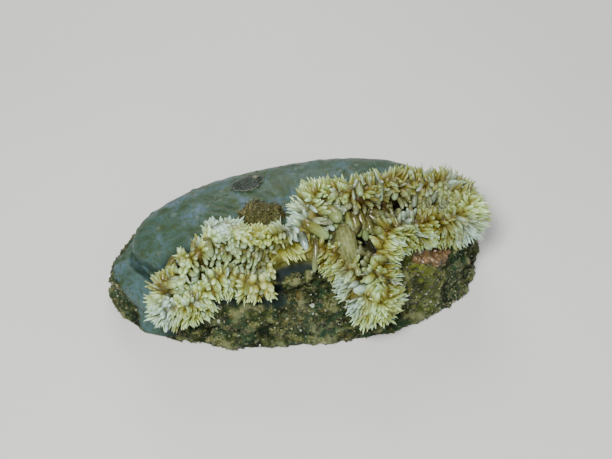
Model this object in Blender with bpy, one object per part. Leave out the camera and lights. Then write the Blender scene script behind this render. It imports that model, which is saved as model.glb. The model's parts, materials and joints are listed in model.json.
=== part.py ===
"""A life-size daisy anemone squeezed flat as it sits in a rock crevice.

From the floor up: a flared pedal disc, a column wall that leans back and ends in a
rim, a smooth collar that domes up inside the rim, and on top of it the oral disc.
The disc's edge, the margin, is folded into lobes.  It is a rounded bolster that
carries the tentacles, and follows the outline of the lobes seen from above.

+X runs along the column's long axis, -Y is the front and +Z is up.  The origin is
the middle of the pedal disc's underside.  Lengths are in millimetres, and
solid_object() scales them to metres.
"""

import math

import bmesh
import bpy
import numpy as np
from mathutils import Vector
from mathutils.geometry import delaunay_2d_cdt

MM = 0.001
GAP = 0.35  # between neighbouring solids
REACH = 1.4  # how far round each corner of its underside a solid clears the body

# Column: an egg-shaped plan that drifts back as it rises.
HALF_LENGTH = 45.5
HALF_DEPTH = 21.5
SQUARENESS = 2.2  # exponent of the plan: 2 is an ellipse
EGG = 0.15  # how much deeper the plan is at +X, and shallower at -X
LEAN_BACK = 3.0  # how far the rim's centre lies behind the base's
AROUND = 40  # segments round the column
FURROWS = 10
FURROW_DEPTH = 0.012  # as a share of the radius
BASE_TOP = 3.0
RIM_HEIGHT = 11.0  # at the two ends
RIM_SLOPE = 5.0  # how much higher the rim is at the front, and lower at the back
FOSSE_DEPTH = 2.6  # of the groove between the rim and the collar

# Collar: a dome inside the fosse, which bulges over the rim at the back.
COLLAR_SHARE = 0.79  # of the column's half axes
COLLAR_BULGE = 0.2
COLLAR_LIFT = 0.42  # share of the dome's height at which it is widest
COLLAR_TOP = 20.5
COLLAR_DOMING = 3.0  # exponent of the dome: higher is flatter on top and steeper at the edge
COLLAR_RINGS = (1.0, 0.97, 0.88, 0.74, 0.56, 0.36, 0.16)

# Lobes of the oral disc: centre line points (x, y, half width, margin height).
LOBES = {
    "back": [(11.5, -4.5, 8.4, 22.0), (7.6, 0.6, 6.0, 21.5)],
    "right": [(11.5, -4.5, 8.4, 22.0), (22.5, -1.4, 8.6, 21.5), (34.5, -1.6, 8.2, 19.5)],
    "front": [(11.5, -4.5, 8.4, 22.0), (12.4, -13.5, 6.7, 19.5), (14.2, -20.8, 5.0, 13.5)],
    "left": [
        (9.5, -6.5, 7.0, 22.0),
        (-1.0, -7.2, 3.2, 20.5),
        (-9.5, -7.6, 3.4, 19.0),
        (-17.5, -8.9, 5.3, 16.5),
        (-25.0, -10.6, 5.9, 14.0),
        (-29.0, -12.6, 4.5, 12.0),
    ],
    "side": [(-17.5, -9.6, 4.2, 16.0), (-11.5, -13.6, 3.0, 14.5)],
}
CIRCLES_PER_SPAN = 14  # discs laid along each stretch of a lobe's centre line
LOBE_FILLET = 1.4  # softness where two lobes meet

# Margin: a bolster along the lobes' outline.
PITCH = 2.65  # from one tentacle to the next along the margin
BOLSTER_WIDTH = 6.0
BOLSTER_THICKNESS = 2.8  # below the margin's own height
ROOT_THICKNESS = 4.5  # the same at its inner edge, and of the disc's floor
LEAST_THICKNESS = 2.0  # where the bolster drapes over the body
INNER_SHARE = 0.76  # of the way to the lobe's centre line, at most
CREST = 2.8  # height of the bolster's top above the margin
CREST_ARC = 150  # degrees of the half oval that the bolster's top follows
LOWER_LIP = (0.1, -1.5)  # share of the width from the edge inwards, height
RUFFLE = 0.6  # rise and fall of the margin
RUFFLES = 15
# Rows of tentacles from the outermost in: length, height of the waist as a share of it,
# and width at the waist as a share of the root's.
ROWS = [
    (2.6, 0.55, 0.62),
    (3.3, 0.55, 0.62),
    (3.4, 0.55, 0.62),
    (3.2, 0.6, 0.66),
    (2.9, 0.65, 0.7),
    (2.6, 0.72, 0.74),
    (2.2, 0.8, 0.8),
]
FIRST_LIFT = -5  # degrees above level at which the outermost row points
ROOM_SHARE = 0.8  # of the free way ahead that a tentacle may take
LEAST_ROOM_INSIDE = 1.0  # to the groove's middle, for tentacles that lean over it

# Where the margin is parted into named stretches: points near each notch.
NOTCHES = {
    "margin_right": (-1.5, 0.5),
    "margin_front": (22.0, -11.5),
    "margin_neck": (5.0, -12.0),
    "margin_left": (-15.5, -14.5),
}

# Oral disc: its bare floor, in two parts with the pinched neck between them.
NECK = (-8.0, -1.5)  # stretch of X where the lobe is pinched and its two bolsters meet
DISC_DIP = 0.5  # floor of the disc below the bolster's inner edge
DISC_MESH = 3.0  # spacing of the floor's inner points

MOUTH_AT = (11.5, -5.0)
MOUTH_HALF_LENGTH = 4.2
MOUTH_HALF_WIDTH = 2.4
MOUTH_TURN = 35  # degrees from +X
MOUTH_SIDES = 18
# Section of the lips from their foot inwards: share of the half axes, height.
LIPS = [(1.0, 0.5), (0.85, 1.2), (0.6, 1.7), (0.35, 1.2), (0.15, 0.6)]

# What sticks to the collar: centre x, y, half length, half width, thickness, turn.
SHELL_CHIP = (-9.5, 14.5, 4.4, 3.0, 1.1, 15)
WEED_CLUMP = (-8.0, 3.6, 5.4, 3.2, 3.0, -5)
DEBRIS_SIDES = 16
# Section of a lump from its underside over its edge: share of its half axes, height.
DEBRIS_SECTION = [(0.2, 0.0), (0.75, 0.0), (1.0, 0.35), (0.9, 0.8), (0.5, 1.0), (0.15, 1.05)]


def column_height(share, y):
    """Height of the wall at this share of the way from the base's top to the rim."""
    rim = RIM_HEIGHT - RIM_SLOPE * (y - LEAN_BACK) / HALF_DEPTH
    return BASE_TOP + GAP + share * (rim - BASE_TOP - GAP)


def plan(size, centre_y, swell=0.0):
    """Points (x, y) round the column's plan at this size, swollen towards the back."""
    points = []
    for i in range(AROUND):
        angle = 2 * math.pi * i / AROUND
        reach = size * (1 + FURROW_DEPTH * math.cos(FURROWS * angle) + swell * backwards(math.sin(angle)))
        across, deep = (
            math.copysign(abs(f(angle)) ** (2 / SQUARENESS), f(angle)) * reach for f in (math.cos, math.sin)
        )
        points.append((HALF_LENGTH * across, centre_y + HALF_DEPTH * (1 + EGG * across) * deep))
    return points


def backwards(sine):
    """0 at the front, rising to 1 at the back of the column."""
    return np.clip(0.35 + 0.7 * sine, 0, 1)


def size_in_plan(x, y, swell=0.0):
    """How far out (x, y) lies from the column's axis at the rim, 1 being the plan at full size."""
    across = np.asarray(x) / HALF_LENGTH
    deep = (np.asarray(y) - LEAN_BACK) / (HALF_DEPTH * (1 + EGG * across))
    size = (np.abs(across) ** SQUARENESS + np.abs(deep) ** SQUARENESS) ** (1 / SQUARENESS)
    return size / (1 + swell * backwards(deep / np.maximum(size, 0.01)))


def collar_height(x, y):
    share = np.clip(size_in_plan(x, y, COLLAR_BULGE) / COLLAR_SHARE, 0, 1)
    foot = column_height(1, np.asarray(y)) - FOSSE_DEPTH
    return foot + (COLLAR_TOP - foot) * (COLLAR_LIFT + (1 - COLLAR_LIFT) * np.sqrt(1 - share**COLLAR_DOMING))


def body_height(x, y):
    """Top of the column and collar under a point, which the lobes must clear."""
    size = size_in_plan(x, y)
    wall = column_height(1, np.asarray(y)) * np.clip((1.07 - size) / 0.11, 0, 1)
    on_collar = size_in_plan(x, y, COLLAR_BULGE) < COLLAR_SHARE
    return np.where(on_collar, np.maximum(collar_height(x, y), wall), wall)


def height_over_body(x, y):
    """Lowest height for a corner of a faceted underside that lies over the body."""
    around = [(x + REACH * dx, y + REACH * dy) for dx in (-1, 0, 1) for dy in (-1, 0, 1)]
    return float(max(body_height(*p) for p in around)) + GAP


def smooth_line(points, per_span):
    """Points of a Catmull-Rom curve through the given ones."""
    points = np.array(points, float)
    padded = np.vstack([2 * points[0] - points[1], points, 2 * points[-1] - points[-2]])
    line = []
    for i in range(len(points) - 1):
        a, b, c, d = padded[i : i + 4]
        for t in np.arange(per_span) / per_span:
            bend = (2 * a - 5 * b + 4 * c - d) * t**2 + (3 * b - a - 3 * c + d) * t**3
            line.append(0.5 * (2 * b + (c - a) * t + bend))
    return np.array([*line, points[-1]])


CIRCLES = [smooth_line(points, CIRCLES_PER_SPAN) for points in LOBES.values()]


def outside(x, y):
    """Distance outside the lobes' outline, negative inside it, and the margin's height there."""
    distances, heights = [], []
    for circles in CIRCLES:
        away = np.hypot(circles[:, 0] - x, circles[:, 1] - y) - circles[:, 2]
        nearest = away.argmin()
        distances.append(away[nearest])
        heights.append(circles[nearest, 3])
    weights = np.exp(-np.array(distances) / LOBE_FILLET)
    distance = -LOBE_FILLET * math.log(weights.sum())
    return distance, float(weights @ heights / weights.sum())


def slope(x, y, step=0.05):
    """Unit vector pointing straight away from the lobes."""
    gradient = np.array(
        [
            outside(x + step, y)[0] - outside(x - step, y)[0],
            outside(x, y + step)[0] - outside(x, y - step)[0],
        ]
    )
    return gradient / np.linalg.norm(gradient)


def trace_outline(step=0.3):
    """The lobes' outline as evenly spaced points, clockwise seen from above."""
    point = np.array([LOBES["right"][-1][0] + 9.0, LOBES["right"][-1][1]])
    for _ in range(30):
        point = point - outside(*point)[0] * slope(*point)
    line = [point]
    while len(line) < 40 or np.linalg.norm(line[-1] - line[0]) > step:
        out = slope(*line[-1])
        ahead = line[-1] + step * np.array([out[1], -out[0]])
        line.append(ahead - outside(*ahead)[0] * slope(*ahead))
    line = np.array([*line, line[0]])
    run = np.concatenate([[0], np.cumsum(np.linalg.norm(np.diff(line, axis=0), axis=1))])
    count = round(run[-1] / PITCH)
    at = np.arange(count) * run[-1] / count
    return np.stack([np.interp(at, run, line[:, k]) for k in (0, 1)], axis=1)


def evened(values, passes=2):
    """Each value blended with its two neighbours round the loop."""
    for _ in range(passes):
        values = 0.5 * values + 0.25 * (np.roll(values, 1, 0) + np.roll(values, -1, 0))
    return values


def free_way(point, direction, most, sign):
    """How far one can go that way before the outline's other side is nearer."""
    way = 0.0
    while way < most:
        ahead = point + direction * (way + 0.25)
        if sign * outside(*ahead)[0] < 0.8 * (way + 0.25):
            break
        way += 0.25
    return way


class Margin:
    """The outline of the lobes with what the bolster and the tentacles need at each point."""

    def __init__(self):
        self.edge = trace_outline()
        count = len(self.edge)
        out = evened(np.array([slope(*p) for p in self.edge]))
        self.out = out / np.linalg.norm(out, axis=1)[:, None]
        inner = [free_way(p, -o, 9.0, -1) for p, o in zip(self.edge, self.out)]
        self.half_gap = evened(np.array(inner), 3)
        self.width = np.minimum(BOLSTER_WIDTH, INNER_SHARE * self.half_gap)
        room = np.array([free_way(p, o, 6.0, 1) for p, o in zip(self.edge, self.out)])
        room = np.minimum(room, np.minimum(np.roll(room, 1), np.roll(room, -1)))
        self.room = evened(room, 1)
        ruffle = RUFFLE * np.sin(2 * math.pi * RUFFLES * np.arange(count) / count)
        level = evened(np.array([outside(*p)[1] for p in self.edge]), 3) + ruffle
        self.level = np.maximum(level, body_height(*self.edge.T) + 2.4)

    def at(self, i, share):
        """Point (x, y) of the bolster this share of its width in from the edge."""
        i %= len(self.edge)
        return self.edge[i] - self.out[i] * share * self.width[i]

    def underside(self, i, share, height):
        """Point (share, height) of the section, lifted clear of the body if need be."""
        return share, max(height, height_over_body(*self.at(i, share)))

    def section(self, i):
        """Closed section of the bolster, as points from the lower lip over the top and back."""
        level = self.level[i % len(self.edge)]
        points = [self.underside(i, LOWER_LIP[0], level + LOWER_LIP[1])]
        for k in range(len(ROWS) + 1):
            angle = math.radians(CREST_ARC * k / len(ROWS))
            share = 0.5 - 0.5 * math.cos(angle)
            draped = height_over_body(*self.at(i, share)) + LEAST_THICKNESS
            points.append((share, max(level + CREST * math.sin(angle), draped)))
        points.append((1.0, points[-1][1] - 2 * DISC_DIP))
        points.append(self.underside(i, 1.0, level - ROOT_THICKNESS))
        points.append(self.underside(i, 0.5, level - BOLSTER_THICKNESS))
        return [(*self.at(i, share), height) for share, height in points]

    def disc_level(self, point):
        """Height of the disc's floor: the inner edges near by, blended by their closeness."""
        away = np.linalg.norm(self.edge - np.array(point), axis=1)
        weights = away**-6.0
        edge_level = (weights @ self.level / weights.sum()) + CREST * math.sin(math.radians(CREST_ARC))
        return max(edge_level - DISC_DIP, height_over_body(*point) + 2 * GAP)

    def nearest(self, point):
        return int(np.linalg.norm(self.edge - np.array(point), axis=1).argmin())


def solid_object(name, bm, colour, roughness):
    """The bmesh as an object with its own material, faces outwards."""
    bmesh.ops.recalc_face_normals(bm, faces=bm.faces)
    bmesh.ops.scale(bm, vec=(MM, MM, MM), verts=bm.verts)
    mesh = bpy.data.meshes.new(name)
    bm.to_mesh(mesh)
    bm.free()
    mesh.shade_smooth()
    mesh.set_sharp_from_angle(angle=math.radians(50))
    material = bpy.data.materials.new(name)
    material.use_nodes = True
    shader = material.node_tree.nodes["Principled BSDF"]
    shader.inputs["Base Color"].default_value = (*colour, 1)
    shader.inputs["Roughness"].default_value = roughness
    mesh.materials.append(material)
    made = bpy.data.objects.new(name, mesh)
    bpy.context.scene.collection.objects.link(made)
    return made


def loft(bm, rings):
    """Joins rings of points with quads and caps both ends."""
    verts = [[bm.verts.new(p) for p in ring] for ring in rings]
    for lower, upper in zip(verts, verts[1:]):
        for i in range(len(lower)):
            k = (i + 1) % len(lower)
            bm.faces.new((lower[i], lower[k], upper[k], upper[i]))
    bm.faces.new(verts[0][::-1])
    bm.faces.new(verts[-1])
    return verts


# Pedal disc: the foot that grips the rock, flat underneath.
def make_pedal_disc():
    bm = bmesh.new()
    steps = [(0.0, 0.97), (0.8, 1.01), (2.0, 1.0), (BASE_TOP, 0.96)]
    loft(bm, [[(x, y, z) for x, y in plan(size, 0.0)] for z, size in steps])
    solid_object("pedal_disc", bm, (0.30, 0.27, 0.17), 0.8)


# Column wall: waisted above the foot, bulging, and turned in at the rim.
def make_column_wall():
    bm = bmesh.new()
    steps = [(0.0, 0.95), (0.2, 0.945), (0.5, 0.985), (0.8, 0.95), (1.0, 0.9), (0.96, 0.868)]
    rings = []
    for share, size in steps:
        outline = plan(size, LEAN_BACK * share)
        rings.append([(x, y, column_height(share, y)) for x, y in outline])
    fosse = plan(COLLAR_SHARE + 0.02, LEAN_BACK)
    rings.append([(x, y, column_height(1, y) - FOSSE_DEPTH - GAP) for x, y in fosse])
    loft(bm, rings)
    solid_object("column_wall", bm, (0.24, 0.23, 0.13), 0.9)


# Collar: the smooth grey-blue shoulder that carries the disc.
def make_collar():
    bm = bmesh.new()
    foot = plan(COLLAR_SHARE, LEAN_BACK)
    rings = [[(x, y, column_height(1, y) - FOSSE_DEPTH) for x, y in foot]]
    for share in COLLAR_RINGS:
        outline = plan(COLLAR_SHARE * share, LEAN_BACK, COLLAR_BULGE)
        heights = collar_height(*np.array(outline).T)
        rings.append([(x, y, z) for (x, y), z in zip(outline, heights)])
    loft(bm, rings)
    solid_object("collar", bm, (0.30, 0.36, 0.38), 0.45)


def grow_tentacles(bm, rows):
    """Draws each face of the rows out into a tapering tentacle with a pointed or blunt tip."""
    for face, along, length, waist, waist_size in rows:
        root = face.calc_center_median()
        grown = bmesh.ops.extrude_discrete_faces(bm, faces=[face])["faces"][0]
        for vert in grown.verts:
            vert.co = root + (vert.co - root) * waist_size + along * length * waist
        tip = bmesh.ops.poke(bm, faces=[grown])["verts"][0]
        tip.co = root + along * length


# Margin: stretches of the bolster, from one notch to the next, with their tentacles.
def make_margin(margin):
    starts = {name: margin.nearest(notch) for name, notch in NOTCHES.items()}
    names = sorted(starts, key=starts.get)
    count = len(margin.edge)
    for name, following in zip(names, names[1:] + names[:1]):
        first = starts[name]
        last = starts[following]
        if last <= first:
            last += count
        sections = [np.array(margin.section(i)) for i in range(first, last + 1)]
        for end, inner in ((0, 1), (-1, -2)):
            step = sections[inner] - sections[end]
            sections[end] = sections[end] + step * (0.5 * GAP / PITCH)
        bm = bmesh.new()
        verts = loft(bm, sections)
        rows = []
        for k in range(len(verts) - 1):
            here = [(first + k) % count, (first + k + 1) % count]
            out = margin.out[here].sum(0)
            out = out / np.linalg.norm(out)
            for row, (length, waist, waist_size) in enumerate(ROWS):
                corners = verts[k][row + 1 : row + 3] + verts[k + 1][row + 1 : row + 3][::-1]
                face = bm.faces.get(corners)
                lift = math.radians(FIRST_LIFT + CREST_ARC * (row + 0.5) / len(ROWS))
                way = Vector((*out * math.cos(lift), math.sin(lift)))
                leans_in = lift > math.pi / 2
                room = (margin.half_gap - margin.width if leans_in else margin.room)[here].min()
                if not leans_in or room > LEAST_ROOM_INSIDE:
                    rows.append((face, way, length, waist, waist_size, ROOM_SHARE * room))
        grow_tentacles(bm, [fitted(*row) for row in rows])
        solid_object(name, bm, (0.62, 0.52, 0.27), 0.55)


def fitted(face, way, length, waist, waist_size, room):
    """Stands a tentacle up where it has little room ahead, and lifts it clear of the body under it."""
    root = face.calc_center_median()
    sideways = min(1, room / (length * max(math.hypot(way.x, way.y), 0.01)))
    way = Vector((way.x * sideways, way.y * sideways, max(way.z, 1 - sideways))).normalized()
    for _ in range(12):
        tip = root + way * length
        if tip.z > body_height(tip.x, tip.y) + 2 * GAP:
            break
        way = (way + Vector((0, 0, 0.12))).normalized()
    return face, way, length, waist, waist_size


# Oral disc: a slab over the collar that fills the ring of bolsters.
def make_oral_disc(margin, name, in_this_part):
    ring = []
    for i, (x, _) in enumerate(margin.edge):
        point = margin.at(i, 1.0) - margin.out[i] * 1.5 * GAP
        if in_this_part(x) and (not ring or np.linalg.norm(point - ring[-1]) > 2 * GAP):
            ring.append(point)
    ring = np.array(ring)
    low, high = ring.min(0), ring.max(0)
    inner = []
    for x in np.arange(low[0], high[0], DISC_MESH):
        for y in np.arange(low[1], high[1], DISC_MESH):
            if is_inside(ring, x, y) and np.linalg.norm(ring - (x, y), axis=1).min() > 0.6 * DISC_MESH:
                inner.append((x, y))
    points = [Vector(p) for p in [*ring, *inner]]
    edges = [(i, (i + 1) % len(ring)) for i in range(len(ring))]
    flat, _, faces, _, _, _ = delaunay_2d_cdt(points, edges, [], 1, 0.0001)
    bm = bmesh.new()
    top, bottom = [], []
    for point in flat:
        level = margin.disc_level(point)
        top.append(bm.verts.new((*point, level)))
        bottom.append(bm.verts.new((*point, max(height_over_body(*point), level - ROOT_THICKNESS))))
    for a, b, c in faces:
        bm.faces.new((top[a], top[b], top[c]))
        bm.faces.new((bottom[c], bottom[b], bottom[a]))
    for edge in [e for e in bm.edges if e.is_boundary and e.verts[0] in top]:
        a, b = (top.index(v) for v in edge.verts)
        bm.faces.new((top[a], top[b], bottom[b], bottom[a]))
    solid_object(name, bm, (0.45, 0.33, 0.18), 0.4)


def is_inside(ring, x, y):
    """Whether (x, y) lies inside a closed ring of points."""
    crossings = 0
    for (ax, ay), (bx, by) in zip(ring, np.roll(ring, -1, 0)):
        if (ay > y) != (by > y) and x < ax + (y - ay) / (by - ay) * (bx - ax):
            crossings += 1
    return crossings % 2 == 1


def turned_oval(centre, half_length, half_width, turn, count, lumps=0.0):
    """Points (x, y) round an oval turned by these degrees, with an uneven edge if it is lumpy."""
    turn = math.radians(turn)
    points = []
    for i in range(count):
        angle = 2 * math.pi * i / count
        reach = 1 + lumps * (math.sin(3 * angle) + 0.6 * math.cos(5 * angle + 1))
        u, v = half_length * reach * math.cos(angle), half_width * reach * math.sin(angle)
        x = centre[0] + u * math.cos(turn) - v * math.sin(turn)
        points.append((x, centre[1] + u * math.sin(turn) + v * math.cos(turn)))
    return points


# Mouth: raised oval lips round a slit.
def make_mouth(margin):
    bm = bmesh.new()
    outer = turned_oval(MOUTH_AT, MOUTH_HALF_LENGTH, MOUTH_HALF_WIDTH, MOUTH_TURN, MOUTH_SIDES)
    base = max(margin.disc_level(p) for p in [*outer, MOUTH_AT]) + GAP
    rings = [[(x, y, base) for x, y in outer]]
    for share, rise in LIPS:
        sizes = MOUTH_HALF_LENGTH * share, MOUTH_HALF_WIDTH * share
        rings.append([(x, y, base + rise) for x, y in turned_oval(MOUTH_AT, *sizes, MOUTH_TURN, MOUTH_SIDES)])
    loft(bm, rings)
    solid_object("mouth_lips", bm, (0.55, 0.42, 0.27), 0.4)


# Debris: a low mound whose underside follows the collar.
def make_debris(name, sizes, colour, lumps):
    x, y, half_length, half_width, thickness, turn = sizes
    bm = bmesh.new()
    rings = []
    for share, rise in DEBRIS_SECTION:
        outline = turned_oval((x, y), half_length * share, half_width * share, turn, DEBRIS_SIDES, lumps)
        rings.append([(px, py, float(body_height(px, py)) + GAP + thickness * rise) for px, py in outline])
    loft(bm, rings)
    solid_object(name, bm, colour, 0.8)


def main():
    for old in list(bpy.data.objects):
        bpy.data.objects.remove(old)
    margin = Margin()
    make_pedal_disc()
    make_column_wall()
    make_collar()
    make_margin(margin)
    make_oral_disc(margin, "oral_disc_right", lambda x: x > NECK[1])
    make_oral_disc(margin, "oral_disc_left", lambda x: x < NECK[0])
    make_mouth(margin)
    make_debris("stuck_shell", SHELL_CHIP, (0.09, 0.10, 0.09), 0.06)
    make_debris("stuck_weed", WEED_CLUMP, (0.16, 0.15, 0.06), 0.1)


main()
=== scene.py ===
"""A life-size daisy anemone half drawn in, finished as a museum model.

It is put together from the floor up: one skin of wet flesh for the foot, column, collar and
disc, the grit and crust stuck to its column, the fringe of tentacles, and the weed and shell
chip on its back.  Sums are in millimetres, and a mesh is scaled to metres when it is made.
"""

import math
from collections import Counter

import bpy
import numpy as np
from mathutils import Matrix, Vector, bvhtree, kdtree, noise
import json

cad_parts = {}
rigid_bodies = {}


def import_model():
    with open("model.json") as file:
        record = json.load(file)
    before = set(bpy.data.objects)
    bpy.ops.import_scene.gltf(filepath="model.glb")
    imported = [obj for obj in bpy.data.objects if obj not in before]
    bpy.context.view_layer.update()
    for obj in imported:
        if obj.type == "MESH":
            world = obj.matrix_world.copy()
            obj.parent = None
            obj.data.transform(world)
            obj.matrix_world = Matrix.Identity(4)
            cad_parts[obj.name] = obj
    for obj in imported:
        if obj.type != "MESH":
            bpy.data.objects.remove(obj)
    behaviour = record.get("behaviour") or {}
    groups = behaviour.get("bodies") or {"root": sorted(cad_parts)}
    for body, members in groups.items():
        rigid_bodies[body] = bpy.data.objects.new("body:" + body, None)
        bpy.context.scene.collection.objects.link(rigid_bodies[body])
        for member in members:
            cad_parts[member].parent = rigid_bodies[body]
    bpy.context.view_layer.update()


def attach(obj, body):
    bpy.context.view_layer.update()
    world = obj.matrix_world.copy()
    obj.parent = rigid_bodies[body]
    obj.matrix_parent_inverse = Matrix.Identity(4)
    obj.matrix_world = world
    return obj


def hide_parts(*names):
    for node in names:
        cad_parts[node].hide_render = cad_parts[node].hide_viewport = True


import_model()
bpy.ops.object.select_all(action="DESELECT")
MM = 0.001


# Camera: looks down at the front of the animal from 55 degrees, turned a little to its left.
AZIMUTH, ELEVATION = math.radians(-10), math.radians(55)
LENS, SENSOR_WIDTH, WIDTH_SEEN = 60, 36, 0.1457
AIM_HEIGHT, AIM_FORWARD, SHIFTED_RIGHT, SHIFTED_UP = 0.015, 0.003, 0.00238, 0.00417
towards = Vector((math.sin(AZIMUTH) * math.cos(ELEVATION), -math.cos(AZIMUTH) * math.cos(ELEVATION),
                  math.sin(ELEVATION)))
sideways = Vector((math.cos(AZIMUTH), math.sin(AZIMUTH), 0))
upwards = towards.cross(sideways)
aim = Vector((AIM_FORWARD * math.sin(AZIMUTH), -AIM_FORWARD * math.cos(AZIMUTH), AIM_HEIGHT))
aim += sideways * SHIFTED_RIGHT + upwards * SHIFTED_UP
camera_data = bpy.data.cameras.new("camera")
camera_data.lens, camera_data.sensor_width, camera_data.clip_start = LENS, SENSOR_WIDTH, 0.01
camera = bpy.data.objects.new("camera", camera_data)
camera.location = aim + towards * WIDTH_SEEN * LENS / SENSOR_WIDTH
camera.rotation_euler = towards.to_track_quat("Z", "Y").to_euler()
bpy.context.scene.collection.objects.link(camera)
bpy.context.scene.camera = camera


# Studio light: a softbox above the front left, a weak fill from the right, one from behind, and a
# dim surround, so that the gaps between the tentacles stay dark.
LIGHTS_AIM = Vector((0, 0, 0.01))
SURROUND_TINT, SURROUND_STRENGTH = (0.95, 0.97, 1.0), 0.15
for name, stand, size, power, tint in [
    ("key", (-0.09, -0.15, 0.34), 0.09, 1.85, (1.0, 0.99, 0.96)),
    ("fill", (0.30, -0.16, 0.22), 0.25, 0.30, (0.96, 0.98, 1.0)),
    ("back", (0.02, 0.33, 0.24), 0.22, 0.90, (0.97, 0.99, 1.0)),
]:
    lamp = bpy.data.lights.new(name, "AREA")
    lamp.energy, lamp.size, lamp.color = power, size, tint
    light = bpy.data.objects.new(name, lamp)
    light.location = stand
    light.rotation_euler = (Vector(stand) - LIGHTS_AIM).to_track_quat("Z", "Y").to_euler()
    bpy.context.scene.collection.objects.link(light)
surround = bpy.data.worlds.new("surround")
surround.use_nodes = True
backdrop = surround.node_tree.nodes["Background"].inputs
backdrop["Color"].default_value = (*SURROUND_TINT, 1)
backdrop["Strength"].default_value = SURROUND_STRENGTH
bpy.context.scene.world = surround


# Floor: a plain pale sheet under the model.
class Wire:
    """What comes out of a material's node.  Sums on it add Math nodes."""

    def __init__(self, finish, socket):
        self.finish, self.socket = finish, socket

    def maths(self, operation, *values):
        """Adds a Math node that works on these."""
        return self.finish.add("ShaderNodeMath", {"operation": operation}, dict(enumerate(values)))

    def __add__(self, other):
        return self.maths("ADD", self, other)

    def __sub__(self, other):
        return self.maths("SUBTRACT", self, other)

    def __rsub__(self, other):
        return self.maths("SUBTRACT", other, self)

    def __mul__(self, other):
        return self.maths("MULTIPLY", self, other)

    __radd__, __rmul__ = __add__, __mul__

    def rise(self, low, high):
        """0 below low, 1 above high, and smooth between them."""
        values = {"Value": self, "From Min": low, "From Max": high}
        return self.finish.add("ShaderNodeMapRange", {"interpolation_type": "SMOOTHSTEP"}, values)


class Finish:
    """A material and its nodes.  Patterns are laid on Object coordinates, in millimetres."""

    def __init__(self, name, **fixed):
        self.material = bpy.data.materials.new(name)
        self.material.use_nodes = True
        self.tree = self.material.node_tree
        self.shader = self.tree.nodes["Principled BSDF"]
        for socket, value in fixed.items():
            self.shader.inputs[socket.replace("_", " ")].default_value = value
        self.place = self.add("ShaderNodeTexCoord", {}, {}, "Object")

    def add(self, kind, settings, inputs, output=0):
        """Adds a node, sets it up, joins or sets its inputs, and hands back one of its outputs."""
        node = self.tree.nodes.new(kind)
        for name, value in settings.items():
            if name == "stops":
                ramp = node.color_ramp
                while len(ramp.elements) < len(value):
                    ramp.elements.new(0.5)
                for stop, (at, colour) in zip(ramp.elements, value):
                    stop.position, stop.color = at, (*colour, 1)
            else:
                setattr(node, name, value)
        for name, value in inputs.items():
            self.join(value, node.inputs[name])
        return Wire(self, node.outputs[output])

    def join(self, value, socket):
        """Links a wire to a socket, or sets the socket to a number or colour."""
        if isinstance(value, Wire):
            self.tree.links.new(value.socket, socket)
        elif isinstance(value, tuple) and len(value) == 3 and socket.type == "RGBA":
            socket.default_value = (*value, 1)
        else:
            socket.default_value = value

    def attribute(self, name):
        """The number stored on the mesh under this name."""
        return self.add("ShaderNodeAttribute", {"attribute_name": name}, {}, "Fac")

    def cloud(self, size, detail=3.0, roughness=0.5, warp=0.0):
        """Soft noise with features of this many millimetres."""
        values = {"Vector": self.place, "Scale": 1 / (MM * size), "Detail": detail,
                  "Roughness": roughness, "Distortion": warp}
        return self.add("ShaderNodeTexNoise", {}, values)

    def blend(self, share, first, second):
        """Colour part of the way from the first to the second."""
        return self.add("ShaderNodeMix", {"data_type": "RGBA"}, {0: share, 6: first, 7: second}, 2)

    def layered(self, tone, *layers):
        """The tone with others laid over it in turn, each given as (share, tone)."""
        for share, over in layers:
            tone = self.blend(share, tone, over)
        return tone

    def ramp(self, share, stops):
        """Colour between stops given as (share, colour)."""
        return self.add("ShaderNodeValToRGB", {"stops": stops}, {"Fac": share})

    def bump(self, height, depth, under=None):
        """Relief of this many millimetres, over another relief if there is one."""
        values = {"Strength": 1.0, "Distance": depth * MM, "Height": height}
        if under:
            values["Normal"] = under
        return self.add("ShaderNodeBump", {}, values)

    def wear(self, **outputs):
        """Joins these to the shader, and hands back the finished material."""
        for socket, value in outputs.items():
            self.join(value, self.shader.inputs[socket.replace("_", " ")])
        return self.material


FLOOR_SIZE, FLOOR_DROP = 3.0, 0.00002
floor_finish = Finish("pale_floor", Roughness=0.85)
floor_tone = floor_finish.blend(floor_finish.cloud(60, 2), (0.70, 0.70, 0.68), (0.76, 0.76, 0.74))
bpy.ops.mesh.primitive_plane_add(size=FLOOR_SIZE, location=(0, 0, -FLOOR_DROP))
bpy.ops.object.transform_apply(location=True)
floor = bpy.context.object
floor.name = "floor"
floor.data.materials.append(floor_finish.wear(Base_Color=floor_tone))
bpy.ops.object.select_all(action="DESELECT")


# Flesh: the foot, column, collar, folded disc and mouth are one wet skin.  It is made as closed
# forms that overlap, fused by a voxel remesh and smoothed, then furrowed, wrinkled and crusted.
HALF_LENGTH, HALF_DEPTH, SQUARENESS, EGG, LEAN_BACK = 45.5, 21.5, 2.2, 0.15, 3.0
FLUTES, FLUTE_DEPTH, WALL_EDGE, WALL_ROUNDING = 10, 0.012, 1.07, 0.11
FOOT_TOP, RIM_HEIGHT, RIM_SLOPE, FOSSE_DEPTH = 3.35, 11.0, 5.0, 2.6
COLLAR_SHARE, COLLAR_BULGE, COLLAR_LIFT, COLLAR_TOP, COLLAR_DOMING = 0.79, 0.2, 0.42, 20.5, 3.0
AROUND = 260
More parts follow.
